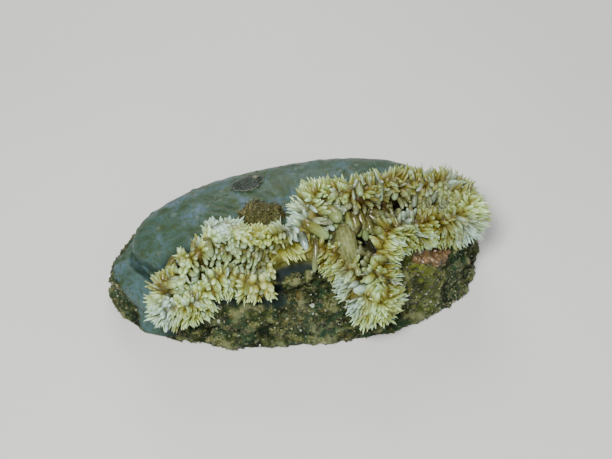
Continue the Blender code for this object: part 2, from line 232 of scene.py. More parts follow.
# From the floor up: height added, share of the rise from foot to rim, size of the plan.
COLUMN_PROFILE = [
    (0.0, 0.0, 0.978), (0.35, 0.0, 1.0), (1.1, 0.0, 1.008), (2.1, 0.0, 0.995), (2.9, 0.0, 0.965),
    (3.35, 0.08, 0.948), (3.35, 0.25, 0.955), (3.35, 0.5, 0.982), (3.35, 0.7, 0.968),
    (3.35, 0.86, 0.94), (3.35, 0.97, 0.912), (3.3, 1.0, 0.885), (2.7, 1.0, 0.862),
    (1.6, 1.0, 0.835), (0.75, 1.0, 0.812),
]
LOBES = {  # centre line points: x, y, half width, height of the margin
    "back": [(11.5, -4.5, 8.4, 22.0), (7.6, 0.6, 6.0, 21.5)],
    "right": [(11.5, -4.5, 8.4, 22.0), (22.5, -1.4, 8.6, 21.5), (34.5, -1.6, 8.2, 19.5)],
    "front": [(11.5, -4.5, 8.2, 22.0), (12.7, -13.5, 5.9, 19.5), (14.7, -20.4, 4.3, 13.5)],
    "left": [(9.5, -5.8, 6.4, 22.0), (-1.0, -7.2, 3.2, 20.5), (-9.5, -7.6, 3.4, 19.0),
             (-16.0, -7.8, 4.2, 17.0), (-21.0, -8.5, 4.6, 15.5), (-26.2, -10.8, 5.5, 13.7),
             (-30.4, -12.2, 4.7, 12.2)],
    "upper": [(-17.5, -6.8, 4.0, 17.0), (-17.6, -3.2, 3.3, 18.0)],
    "side": [(-15.8, -9.2, 3.6, 16.0), (-11.0, -13.3, 3.1, 14.5)],
}
LOBE_FILLET, BOLSTER_WIDTH, ROOT_THICKNESS, DRAPE, CLEARANCE = 1.4, 6.0, 4.5, 2.2, 2.4
UNDERSIDE = [(1.0, ROOT_THICKNESS), (0.75, 3.9), (0.5, 2.8), (0.25, 2.1), (0.08, 1.4)]  # share across, drop
CREST, CREST_ARC, DISC_DIP, RUFFLE, RUFFLES = 2.8, 150, 0.5, 0.6, 15
MARGIN_START, MARGIN_PITCH, TRAIL_STEP = (43.5, -1.6), 0.6, 0.3
BOLSTER_SHARE, WIDEST_GAP, WIDEST_ROOM = 0.76, 9.0, 6.0
OUT_PASSES, GAP_PASSES, ROOM_PASSES, LEVEL_PASSES = 39, 58, 30, 58
GROOVE_DEPTH, GROOVE_STARTS, GROOVE_FULL = 1.3, 1.5, 4.5
PITS = [  # holes of the folded disc, painted near black inside as shade: x, y, radius, depth
    (15.4, -6.6, 1.4, 3.2), (15.6, -11.2, 1.4, 3.2), (25.1, -0.1, 1.5, 2.0),
    (31.8, -3.0, 1.4, 2.0), (37.8, -4.3, 1.2, 1.8), (-28.6, -7.4, 0.8, 0.8),
]
SLAB_PITCH, SLAB_INSET, SUNK = 0.45, 1.6, 1.0
MOUTH_AT, MOUTH_TURN = (11.5, -5.0), math.radians(35)
LIP_RING, LIP_THICKNESS, LIP_STRETCH, LIP_RISE = 2.6, 0.95, (1.25, 0.72, 1.3), 0.7
THROAT_AT, THROAT_SIZE, THROAT_TILT, THROAT_RISE = (10.2, -9.6), (2.7, 6.0, 1.2), math.radians(20), 1.2
SKIN_VOXEL = 0.43


def backwards(sine):
    """0 at the front, rising to 1 at the back of the column."""
    return np.clip(0.35 + 0.7 * sine, 0, 1)


def rim_rise(y):
    """How high the rim stands over the top of the foot, lower towards the back."""
    return RIM_HEIGHT - RIM_SLOPE * (y - LEAN_BACK) / HALF_DEPTH - FOOT_TOP


def plan(size, centre_y, swell=0.0):
    """Points (x, y) round the column at this size, swollen towards the back."""
    angle = 2 * np.pi * np.arange(AROUND) / AROUND
    reach = size * (1 + FLUTE_DEPTH * np.cos(FLUTES * angle) + swell * backwards(np.sin(angle)))
    across, deep = (np.sign(f) * np.abs(f) ** (2 / SQUARENESS) * reach
                    for f in (np.cos(angle), np.sin(angle)))
    return HALF_LENGTH * across, centre_y + HALF_DEPTH * (1 + EGG * across) * deep


def size_in_plan(x, y, swell=0.0):
    """How far out (x, y) lies from the column's axis, 1 being the plan at full size."""
    across = x / HALF_LENGTH
    deep = (y - LEAN_BACK) / (HALF_DEPTH * (1 + EGG * across))
    size = (np.abs(across) ** SQUARENESS + np.abs(deep) ** SQUARENESS) ** (1 / SQUARENESS)
    return size / (1 + swell * backwards(deep / np.maximum(size, 0.01)))


def collar_height(x, y):
    """Height of the collar's dome, which stands on the groove inside the rim."""
    share = np.clip(size_in_plan(x, y, COLLAR_BULGE) / COLLAR_SHARE, 0, 1)
    foot = FOOT_TOP + rim_rise(y) - FOSSE_DEPTH
    return foot + (COLLAR_TOP - foot) * (COLLAR_LIFT + (1 - COLLAR_LIFT) * np.sqrt(1 - share**COLLAR_DOMING))


def body_height(x, y):
    """Top of the column and collar under a point."""
    wall = (FOOT_TOP + rim_rise(y)) * np.clip((WALL_EDGE - size_in_plan(x, y)) / WALL_ROUNDING, 0, 1)
    on_collar = size_in_plan(x, y, COLLAR_BULGE) < COLLAR_SHARE
    return np.where(on_collar, np.maximum(collar_height(x, y), wall), wall)


def smooth_line(points, per_span):
    """Points of a Catmull-Rom curve through the given ones."""
    points = np.array(points, float)
    padded = np.vstack([2 * points[0] - points[1], points, 2 * points[-1] - points[-2]])
    t = (np.arange(per_span) / per_span)[:, None]
    line = []
    for a, b, c, d in zip(padded, padded[1:], padded[2:], padded[3:]):
        line.append(0.5 * (2 * b + (c - a) * t + (2 * a - 5 * b + 4 * c - d) * t**2
                           + (3 * b - a - 3 * c + d) * t**3))
    return np.vstack([*line, points[-1:]])


lobe_circles = [smooth_line(points, 14) for points in LOBES.values()]


def outside(x, y):
    """How far (x, y) lies outside the lobes' outline, and the margin's height there."""
    x, y = np.atleast_1d(x).astype(float), np.atleast_1d(y).astype(float)
    away, high = [], []
    for circles in lobe_circles:
        gap = np.hypot(circles[:, :1] - x, circles[:, 1:2] - y) - circles[:, 2:3]
        nearest = gap.argmin(0)
        away.append(gap[nearest, np.arange(len(x))])
        high.append(circles[nearest, 3])
    weights = np.exp(-np.array(away) / LOBE_FILLET)
    return -LOBE_FILLET * np.log(weights.sum(0)), (weights * high).sum(0) / weights.sum(0)


def outwards(x, y, step=0.05):
    """Unit vectors pointing straight away from the lobes."""
    way = np.stack([outside(x + step, y)[0] - outside(x - step, y)[0],
                    outside(x, y + step)[0] - outside(x, y - step)[0]], 1)
    return way / np.linalg.norm(way, axis=1)[:, None]


def evened(values, passes):
    """Each value blended with its two neighbours round the loop."""
    for _ in range(passes):
        values = 0.5 * values + 0.25 * (np.roll(values, 1, 0) + np.roll(values, -1, 0))
    return values


def free_way(points, ways, most, sign):
    """How far one can go that way before the outline's other side is nearer."""
    way, going = np.zeros(len(points)), np.ones(len(points), bool)
    for step in np.arange(0.25, most + 0.01, 0.25):
        ahead = points + ways * step
        going &= sign * outside(*ahead.T)[0] >= 0.8 * step
        way[going] = step
    return way


def smoothed_step(values, low, high):
    """0 below low, 1 above high, and smooth between them."""
    share = np.clip((values - low) / (high - low), 0, 1)
    return share * share * (3 - 2 * share)


def glow(x, y, places):
    """1 at the middle of any of these round places (x, y, radius), fading outwards."""
    return np.max([np.exp(-((x - a) ** 2 + (y - b) ** 2) / r**2) for a, b, r in places], 0)


def oval(x, y, middle, radii):
    """0 at the middle of an oval and 1 along its edge, growing with the square of the distance."""
    return ((x - middle[0]) / radii[0]) ** 2 + ((y - middle[1]) / radii[1]) ** 2


# The margin: the lobes' outline, clockwise from the right end, and the bolster along it.
point = np.array([MARGIN_START])
for _ in range(30):
    point = point - outside(*point.T)[0][:, None] * outwards(*point.T)
trail = [point[0]]
while len(trail) < 40 or np.linalg.norm(trail[-1] - trail[0]) > TRAIL_STEP:
    out = outwards(*trail[-1][:, None])[0]
    ahead = trail[-1] + TRAIL_STEP * np.array([out[1], -out[0]])
    trail.append(ahead - outside(*ahead[:, None])[0] * outwards(*ahead[:, None])[0])
trail = np.array([*trail, trail[0]])
run = np.concatenate([[0], np.cumsum(np.linalg.norm(np.diff(trail, axis=0), axis=1))])
margin_length = run[-1]
steps = round(margin_length / MARGIN_PITCH)
arc = np.arange(steps) * margin_length / steps
edge = np.stack([np.interp(arc, run, trail[:, k]) for k in (0, 1)], 1)
edge_out = evened(outwards(*edge.T), OUT_PASSES)
edge_out /= np.linalg.norm(edge_out, axis=1)[:, None]
half_gap = evened(free_way(edge, -edge_out, WIDEST_GAP, -1), GAP_PASSES)
bolster_width = np.minimum(BOLSTER_WIDTH, BOLSTER_SHARE * half_gap)
room = evened(free_way(edge, edge_out, WIDEST_ROOM, 1), ROOM_PASSES)
level = evened(outside(*edge.T)[1], LEVEL_PASSES)
level += RUFFLE * np.sin(2 * np.pi * RUFFLES * arc / margin_length)
level = np.maximum(level, body_height(*edge.T) + CLEARANCE)


def disc_floor(x, y):
    """Height of the disc's bare floor: the inner edges near by, less the groove and its pits."""
    away = np.hypot(edge[:, :1] - x, edge[:, 1:] - y)
    weights = np.maximum(away, 0.05) ** -6.0
    high = (weights * level[:, None]).sum(0) / weights.sum(0) + CREST * math.sin(math.radians(CREST_ARC))
    inside = -outside(x, y)[0]
    high = high - DISC_DIP - GROOVE_DEPTH * smoothed_step(inside, GROOVE_STARTS, GROOVE_FULL)
    for *pit, depth in PITS:
        high = high - depth * glow(x, y, [pit])
    return high


def mesh_object(name, points, faces):
    """The points, in millimetres, and faces as a new object, shaded smooth."""
    mesh = bpy.data.meshes.new(name)
    mesh.from_pydata((np.asarray(points) * MM).tolist(), [], faces)
    mesh.shade_smooth()
    made = bpy.data.objects.new(name, mesh)
    bpy.context.scene.collection.objects.link(made)
    return made


def fuse(made, voxel):
    """Makes one closed skin of forms that overlap, in steps of this many millimetres."""
    remesh = made.modifiers.new("fuse", "REMESH")
    remesh.mode, remesh.voxel_size, remesh.use_smooth_shade = "VOXEL", voxel * MM, True
    bpy.ops.object.modifier_apply(modifier="fuse")


def quads(rings, around, closed):
    """Faces between rings of points that follow each other, joined last to first if closed."""
    faces = []
    for r in range(rings if closed else rings - 1):
        for i in range(around):
            k, up = (i + 1) % around, (r + 1) % rings
            faces.append((r * around + i, r * around + k, up * around + k, up * around + i))
    return faces


# Column and collar: rings of one plan stacked from the floor to the top of the dome.
rings = []
for added, share, size in smooth_line(COLUMN_PROFILE, 4):
    x, y = plan(size, LEAN_BACK * share)
    rings.append(np.stack([x, y, added + share * rim_rise(y)], 1))
for lift, swell in [(0.0, 0.0), (0.12, 0.25), (0.24, 0.55), (0.34, 0.82)]:
    x, y = plan(COLLAR_SHARE, LEAN_BACK, COLLAR_BULGE * swell)
    foot = FOOT_TOP + rim_rise(y) - FOSSE_DEPTH
    rings.append(np.stack([x, y, foot + lift * (COLLAR_TOP - foot)], 1))
for turn in np.linspace(0, 88.5, 30):
    x, y = plan(COLLAR_SHARE * math.cos(math.radians(turn)), LEAN_BACK, COLLAR_BULGE)
    z = collar_height(x, y)
    under_disc = smoothed_step(-outside(x, y)[0], 0.5, 2.5)
    rings.append(np.stack([x, y, np.minimum(z, z + (disc_floor(x, y) - 0.4 - z) * under_disc)], 1))
faces = quads(len(rings), AROUND, False)
faces += [tuple(range(AROUND))[::-1], tuple(range((len(rings) - 1) * AROUND, len(rings) * AROUND))]
body = mesh_object("body", np.vstack(rings), faces)

# The margin's bolster: lower lip, rounded crest, inner edge and an underside sunk in the collar.
sections = []
for turn in np.linspace(0, CREST_ARC, 13):
    share = 0.5 - 0.5 * math.cos(math.radians(turn))
    spot = edge - edge_out * share * bolster_width[:, None]
    z = np.maximum(level + CREST * math.sin(math.radians(turn)), body_height(*spot.T) + DRAPE)
    sections.append(np.column_stack([spot, z]))
sections.append(sections[-1] - (0, 0, 2 * DISC_DIP + GROOVE_DEPTH))
for share, drop in UNDERSIDE:
    spot = edge - edge_out * share * bolster_width[:, None]
    sunk = body_height(*spot.T) - SUNK
    z = np.minimum(np.maximum(level - drop, sunk), sections[-1][:, 2] - 0.3 if share == 1.0 else np.inf)
    sections.append(np.column_stack([spot, z]))
bolster_points = np.stack(sections, 1).reshape(-1, 3)
bolster = mesh_object("bolster", bolster_points, quads(steps, len(sections), True))

# The disc's floor: a slab over the collar that fills the ring of bolsters.
grid_x, grid_y = np.meshgrid(np.arange(-37, 45, SLAB_PITCH), np.arange(-28, 9, SLAB_PITCH), indexing="ij")
inside = -outside(grid_x.ravel(), grid_y.ravel())[0].reshape(grid_x.shape) > SLAB_INSET
cells = np.argwhere(inside[:-1, :-1] & inside[1:, 1:] & inside[1:, :-1] & inside[:-1, 1:])
across = grid_x.shape[1]
corner = cells[:, 0] * across + cells[:, 1]
slab_quads = np.stack([corner, corner + across, corner + across + 1, corner + 1], 1)
used, slab_quads = np.unique(slab_quads, return_inverse=True)
slab_quads = slab_quads.reshape(-1, 4)
x, y = grid_x.ravel()[used], grid_y.ravel()[used]
top = disc_floor(x, y)
bottom = np.minimum(np.maximum(body_height(x, y) - SUNK, outside(x, y)[1] - ROOT_THICKNESS), top - 1.0)
under = len(used)
faces = slab_quads.tolist() + (slab_quads[:, ::-1] + under).tolist()
sides = [side for quad in slab_quads.tolist() for side in zip(quad, quad[1:] + quad[:1])]
shared = Counter(frozenset(side) for side in sides)
faces += [(b, a, a + under, b + under) for a, b in sides if shared[frozenset((a, b))] == 1]
slab = mesh_object("slab", np.column_stack([[*x, *x], [*y, *y], [*top, *bottom]]), faces)

# Lips round the mouth's slit, and the smooth fold of the throat that hangs out of it.
mouth_floor = float(disc_floor(np.array([MOUTH_AT[0]]), np.array([MOUTH_AT[1]]))[0])
bpy.ops.mesh.primitive_torus_add(major_segments=48, minor_segments=14, major_radius=LIP_RING * MM,
                                 minor_radius=LIP_THICKNESS * MM)
lips = bpy.context.object
for vert in lips.data.vertices:
    u, v = vert.co.x * LIP_STRETCH[0], vert.co.y * LIP_STRETCH[1]
    vert.co = (MOUTH_AT[0] * MM + u * math.cos(MOUTH_TURN) - v * math.sin(MOUTH_TURN),
               MOUTH_AT[1] * MM + u * math.sin(MOUTH_TURN) + v * math.cos(MOUTH_TURN),
               (mouth_floor + LIP_RISE) * MM + vert.co.z * LIP_STRETCH[2])
bpy.ops.mesh.primitive_uv_sphere_add(segments=24, ring_count=16, radius=MM)
throat = bpy.context.object
throat_middle = (THROAT_AT[0] * MM, THROAT_AT[1] * MM, (mouth_floor + THROAT_RISE) * MM)
throat.data.transform(Matrix.Translation(throat_middle) @ Matrix.Rotation(THROAT_TILT, 4, "X")
                      @ Matrix.Diagonal((*THROAT_SIZE, 1)))

bpy.ops.object.select_all(action="DESELECT")
for part in (body, bolster, slab, lips, throat):
    part.select_set(True)
bpy.context.view_layer.objects.active = body
bpy.ops.object.join()
skin = body
skin.name = skin.data.name = "skin"
fuse(skin, SKIN_VOXEL)
soften = skin.modifiers.new("soften", "SMOOTH")
soften.factor, soften.iterations = 0.5, 6
bpy.ops.object.modifier_apply(modifier="soften")
bpy.ops.object.select_all(action="DESELECT")

# Relief and zones of the skin, point by point.
margin_tree = kdtree.KDTree(len(edge))
for i, (x, y) in enumerate(edge):
    margin_tree.insert((x, y, 0), i)
margin_tree.balance()


def read(mesh, kind="vertices", field="co"):
    """Places or normals of a mesh, in the mesh's own units."""
    items = getattr(mesh, kind)
    found = np.empty(len(items) * 3, np.float32)
    items.foreach_get(field, found)
    return found.reshape(-1, 3).astype(float)


def rough_noise(points, size, octaves=3):
    """Layered noise of about -1 to 1 with features of this many millimetres."""
    return np.array([noise.fractal(Vector(p) / size, 1.0, 2.0, octaves) for p in points])


def off_pebble(points, size):
    """0 on top of pebbles of this many millimetres, growing to about 1 between them."""
    return np.array([noise.voronoi(Vector(p) / size)[0][0] for p in points])


def place(mesh, points):
    """Moves the points of a mesh to these places, in millimetres."""
    mesh.vertices.foreach_set("co", (points * MM).astype(np.float32).ravel())


def paint(mesh, **fields):
    """Stores a number for each point under each name."""
    for name, values in fields.items():
        mesh.attributes.new(name, "FLOAT", "POINT").data.foreach_set("value", np.asarray(values, np.float32))


spots = read(skin.data) / MM
normals = read(skin.data, "vertex_normals", "vector")
x, y, z = spots.T
away = outside(x, y)[0]
nearest = np.array([margin_tree.find((a, b, 0))[1] for a, b in spots[:, :2]])
on_lobe = smoothed_step(z - level[nearest], -2.6, -1.0) * smoothed_step(-away, -1.5, -0.2)
within = np.flatnonzero((away < -1.4) & (z > 8))
above_floor = z[within] - disc_floor(x[within], y[within])
on_lobe[within] = np.maximum(on_lobe[within], smoothed_step(above_floor, -1.6, -0.8)
                             * smoothed_step(-away[within], 1.4, 1.9))
rim = FOOT_TOP + rim_rise(y)
patchy = rough_noise(spots, 9.0)
fine = rough_noise(spots, 2.2)
size = size_in_plan(x, y - LEAN_BACK * (np.clip(z / rim, 0, 1) - 1))
height_share = (z - FOOT_TOP) / (rim - FOOT_TOP)
# The grit stops short of the rim, lower down at the front left where the smooth skin shows.
bare_left = np.exp(-oval(x, y, (-36, -12), (10, 9)))
crust_top = 0.86 + 0.16 * patchy - 1.15 * bare_left + 0.05 * fine
crust = smoothed_step(crust_top - height_share, -0.04, 0.05) * smoothed_step(size, 0.84, 0.87)
# At the right front it climbs over the rim into the groove behind it.
climb = np.exp(-oval(x, y, (29, -13), (13, 6.5))) + 0.10 * patchy + 0.05 * fine
crust = np.maximum(crust, smoothed_step(climb, 0.36, 0.42) * smoothed_step(-z, -17.5, -16.5))
# Under the neck and along the front, silt and crust lie over the rim up to the lobes.
ledge = np.exp(-oval(x, y, (1, -15), (9, 3.2))) + 0.16 * patchy + 0.12 * fine
crust = np.maximum(crust, smoothed_step(ledge, 0.36, 0.46))
crust *= smoothed_step(z, 0.15, 0.5) * (1 - on_lobe)
silt = np.exp(-oval(x, y, (-7.5, 3.0), (8.5, 6.0))) + 0.8 * np.exp(-oval(x, y, (-6, -9), (9, 4.5)))
silt = smoothed_step(silt + 0.3 * patchy + 0.3 * fine, 0.45, 0.95) * (1 - on_lobe)
# Painted shade: the collar just outside the lobes at the front is painted dark, and made rougher and duller,
# where their shadow falls.
painted_shade_under_lobes = smoothed_step(-away, -6.0, -2.5) * smoothed_step(-y, -1, 5) * smoothed_step(x, -38, -30)
painted_shade_under_lobes *= 1 - on_lobe
wart = smoothed_step(-off_pebble(spots, 3.5), -0.24, -0.10)
wart *= (1 - crust) * (1 - on_lobe) * smoothed_step(z, 3, 6)
throat_zone = np.exp(-oval(x, y, (10.2, -10.0), (3.0, 5.6))) * smoothed_step(z, 19.5, 20.5)
# Lumps and pebbles under the grit, ripples on the disc, creases and warts on the collar.
wave = np.cos(2 * np.pi * arc[nearest] / 1.25 + 2.0 * fine)
rib = np.cos(2 * np.pi * (x + 0.12 * y + 0.25 * fine) / 0.95)
lumps = rough_noise(spots, 4.5, 2)
pebbles, small_pebbles = 1 - off_pebble(spots, 1.7), 1 - off_pebble(spots, 0.8)
line = np.cos(np.arctan2(y * 1.9, x) * 46 + 3.0 * patchy)
creases = np.cos(2 * np.pi * (rim - z) / 1.5 + 2.5 * patchy) * np.exp(-((rim + 1 - z) / 3.5) ** 2)
relief = crust * (0.42 * fine + 0.7 * lumps + 0.55 * pebbles + 0.25 * small_pebbles - 0.2)
relief += silt * (0.10 * (1 - off_pebble(spots, 0.9)) + 0.12 * fine) * (1 - crust)
relief += on_lobe * (0.10 * wave * (1 - throat_zone) + 0.10 * fine + 0.08 * rib * throat_zone)
relief += (1 - crust) * (1 - on_lobe) * (0.16 * patchy + 0.04 * fine + 0.06 * line + 0.10 * creases
                                         + 0.22 * wart)
spots = spots + normals * (relief * smoothed_step(z, 0.1, 0.9))[:, None]
spots[:, 2] = np.maximum(spots[:, 2], 0)
place(skin.data, spots)
skin.data.update()
neck = np.exp(-oval(x, y, (-6.0, -8.5), (7.0, 5.0))) * smoothed_step(z - level[nearest], -2.8, -1.0)
neck_fold = np.cos(2 * np.pi * (y + 0.35 * x + 0.5 * fine) / 1.7)
paint(skin.data, crust=crust, lobe=on_lobe, neck=neck, throat=throat_zone, wart=wart, line=line, silt=silt,
      under=painted_shade_under_lobes, hollow=-relief, rib=rib * 0.5 + 0.5, fold=neck_fold * 0.5 + 0.5,
      groove=smoothed_step(-away, 1.5, 4.2) * on_lobe,
      green=np.exp(-oval(x, y, (26.0, -14), (5, 4))) * crust,
      blue=glow(x, y, [(-38, -8, 9), (-30, -20, 7)]),
      pit=glow(x, y, [(a, b, 1.1 * radius) for a, b, radius, _ in PITS]))

flesh = Finish("wet_flesh", Subsurface_Weight=0.2, Subsurface_Radius=(1.0, 0.8, 0.6), Subsurface_Scale=0.001,
               Coat_Roughness=0.18, IOR=1.36, Specular_IOR_Level=0.25)
mottle = flesh.cloud(5.0, 4.0, 0.55, 0.6)
speck = flesh.cloud(0.9, 3.0, 0.6)
streak = flesh.cloud(2.4, 2.0, 0.5, 2.0)
silt_tone = flesh.ramp(flesh.cloud(1.0, 4.0, 0.65), [
    (0.30, (0.008, 0.012, 0.004)), (0.50, (0.034, 0.042, 0.012)), (0.68, (0.095, 0.100, 0.036))])
collar_tone = flesh.layered(
    flesh.ramp(mottle, [(0.28, (0.024, 0.044, 0.024)), (0.43, (0.040, 0.072, 0.040)),
                        (0.54, (0.052, 0.096, 0.080)), (0.68, (0.080, 0.134, 0.170))]),
    (flesh.attribute("blue") * 0.6, (0.080, 0.150, 0.165)),
    (streak.rise(0.50, 0.66) * 0.65, (0.048, 0.068, 0.014)),
    (flesh.attribute("line").rise(0.5, 1.0) * 0.22, (0.07, 0.15, 0.12)),
    (flesh.attribute("wart") * 0.5, (0.13, 0.17, 0.14)),
    (flesh.attribute("silt") * 0.85, silt_tone),
    # painted shade just outside the lobes (under)
    (flesh.attribute("under") * 0.9, (0.006, 0.012, 0.012)))
crust_tone = flesh.layered(
    flesh.ramp(flesh.cloud(1.6, 4.0, 0.65), [
        (0.32, (0.004, 0.009, 0.003)), (0.45, (0.022, 0.038, 0.010)), (0.56, (0.074, 0.086, 0.024)),
        (0.67, (0.225, 0.240, 0.105))]),
    (flesh.cloud(6.0, 3.0, 0.6, 1.0).rise(0.47, 0.58) * 0.65, (0.012, 0.048, 0.026)),
    (flesh.cloud(4.0, 3.0, 0.6).rise(0.58, 0.70) * 0.5, (0.11, 0.075, 0.016)),
    (speck.rise(0.63, 0.70) * 0.8, (0.36, 0.40, 0.25)),
    (flesh.attribute("green") * 0.75, (0.140, 0.165, 0.016)),
    # Painted light and shade: the tops of the lumps are painted lighter and the hollows between them near
    # black.
    ((0 - flesh.attribute("hollow")).rise(0.25, 0.95) * 0.65, (0.225, 0.240, 0.115)),
    (flesh.attribute("hollow").rise(-0.15, 0.35) * 0.8, (0.003, 0.006, 0.003)))
groove_tone = flesh.ramp(flesh.cloud(1.8, 3.0, 0.6), [
    (0.25, (0.016, 0.009, 0.002)), (0.50, (0.055, 0.037, 0.005)), (0.75, (0.13, 0.112, 0.024))])
# Painted light and shade: the throat is painted lighter on the crests of its ribs and darker in the troughs
# between them.
throat_tone = flesh.ramp(flesh.attribute("rib"), [
    (0.2, (0.165, 0.170, 0.050)), (0.8, (0.235, 0.275, 0.115))])
disc_tone = flesh.layered(
    flesh.ramp(flesh.cloud(2.2, 3.0, 0.6), [
        (0.25, (0.080, 0.056, 0.008)), (0.50, (0.155, 0.130, 0.024)), (0.75, (0.25, 0.25, 0.080))]),
    (flesh.attribute("groove").rise(0.1, 0.9), groove_tone),
    # Painted shade: the pits are painted near black inside.
    (flesh.attribute("pit").rise(0.05, 0.4), (0.004, 0.003, 0.001)),
    (flesh.attribute("throat"), throat_tone),
    (flesh.attribute("throat") * speck.rise(0.45, 0.70) * 0.6, (0.32, 0.38, 0.19)))
folds = flesh.attribute("fold") * 0.35 + speck * 0.35 + flesh.cloud(2.2, 3.0, 0.6, 1.0) * 0.45
neck_tone = flesh.ramp(folds, [
    (0.30, (0.070, 0.056, 0.005)), (0.48, (0.135, 0.145, 0.012)), (0.62, (0.205, 0.215, 0.035)),
    (0.78, (0.33, 0.37, 0.14))])
tone = flesh.layered(collar_tone, (flesh.attribute("lobe"), disc_tone),
                     (flesh.attribute("neck") * 0.9, neck_tone), (flesh.attribute("crust"), crust_tone))
wetness = 0.42 + flesh.attribute("crust") * 0.32 + flesh.attribute("silt") * 0.2 + (mottle - 0.5) * 0.2
wetness = wetness - flesh.attribute("lobe") * 0.08 + flesh.attribute("under") * 0.2
shine = (0.07 + flesh.attribute("lobe") * 0.14) * (1 - flesh.attribute("under"))
wrinkles = flesh.bump(flesh.cloud(3.0, 2.0, 0.5, 1.5), 0.35, flesh.bump(flesh.cloud(0.5, 4.0, 0.65), 0.08))
skin.data.materials.clear()
skin.data.materials.append(flesh.wear(Base_Color=tone, Roughness=wetness, Coat_Weight=shine,
                                      Normal=wrinkles))
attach(skin, "root")
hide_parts("pedal_disc", "column_wall", "collar", "oral_disc_right", "oral_disc_left", "mouth_lips")


# Tentacles: soft tapering fingers in rows over the margin, slim and pale-tipped at its outer
# edge.  One is modelled and bent into each place, and they are joined by stretch of the margin.
ROWS = [  # degrees round the bolster, length, radius at its widest, spacing
    (-36, 1.9, 0.20, 0.52), (-26, 2.4, 0.22, 0.52), (-16, 2.8, 0.25, 0.54), (-6, 3.1, 0.27, 0.56),
    (4, 3.2, 0.29, 0.58), (14, 3.3, 0.32, 0.61), (24, 3.3, 0.35, 0.66), (34, 3.2, 0.38, 0.71),
    (44, 3.1, 0.41, 0.76), (54, 3.0, 0.44, 0.81), (65, 2.8, 0.47, 0.86), (76, 2.7, 0.50, 0.90),
    (88, 2.6, 0.52, 0.95), (100, 2.5, 0.54, 1.0), (112, 2.5, 0.55, 1.06), (124, 2.4, 0.56, 1.12),
]
SLIM_HEIGHTS, SLIM_RADII = [0.0, 0.34, 0.62, 0.84, 0.95], [0.85, 1.0, 0.84, 0.50, 0.24]
STUBBY_RADII, SLIM_SUNK = [0.85, 1.0, 1.0, 0.76, 0.44], 0.55
PARTING_AT, PARTING_WANDER = 88, 55  # degrees round the bolster
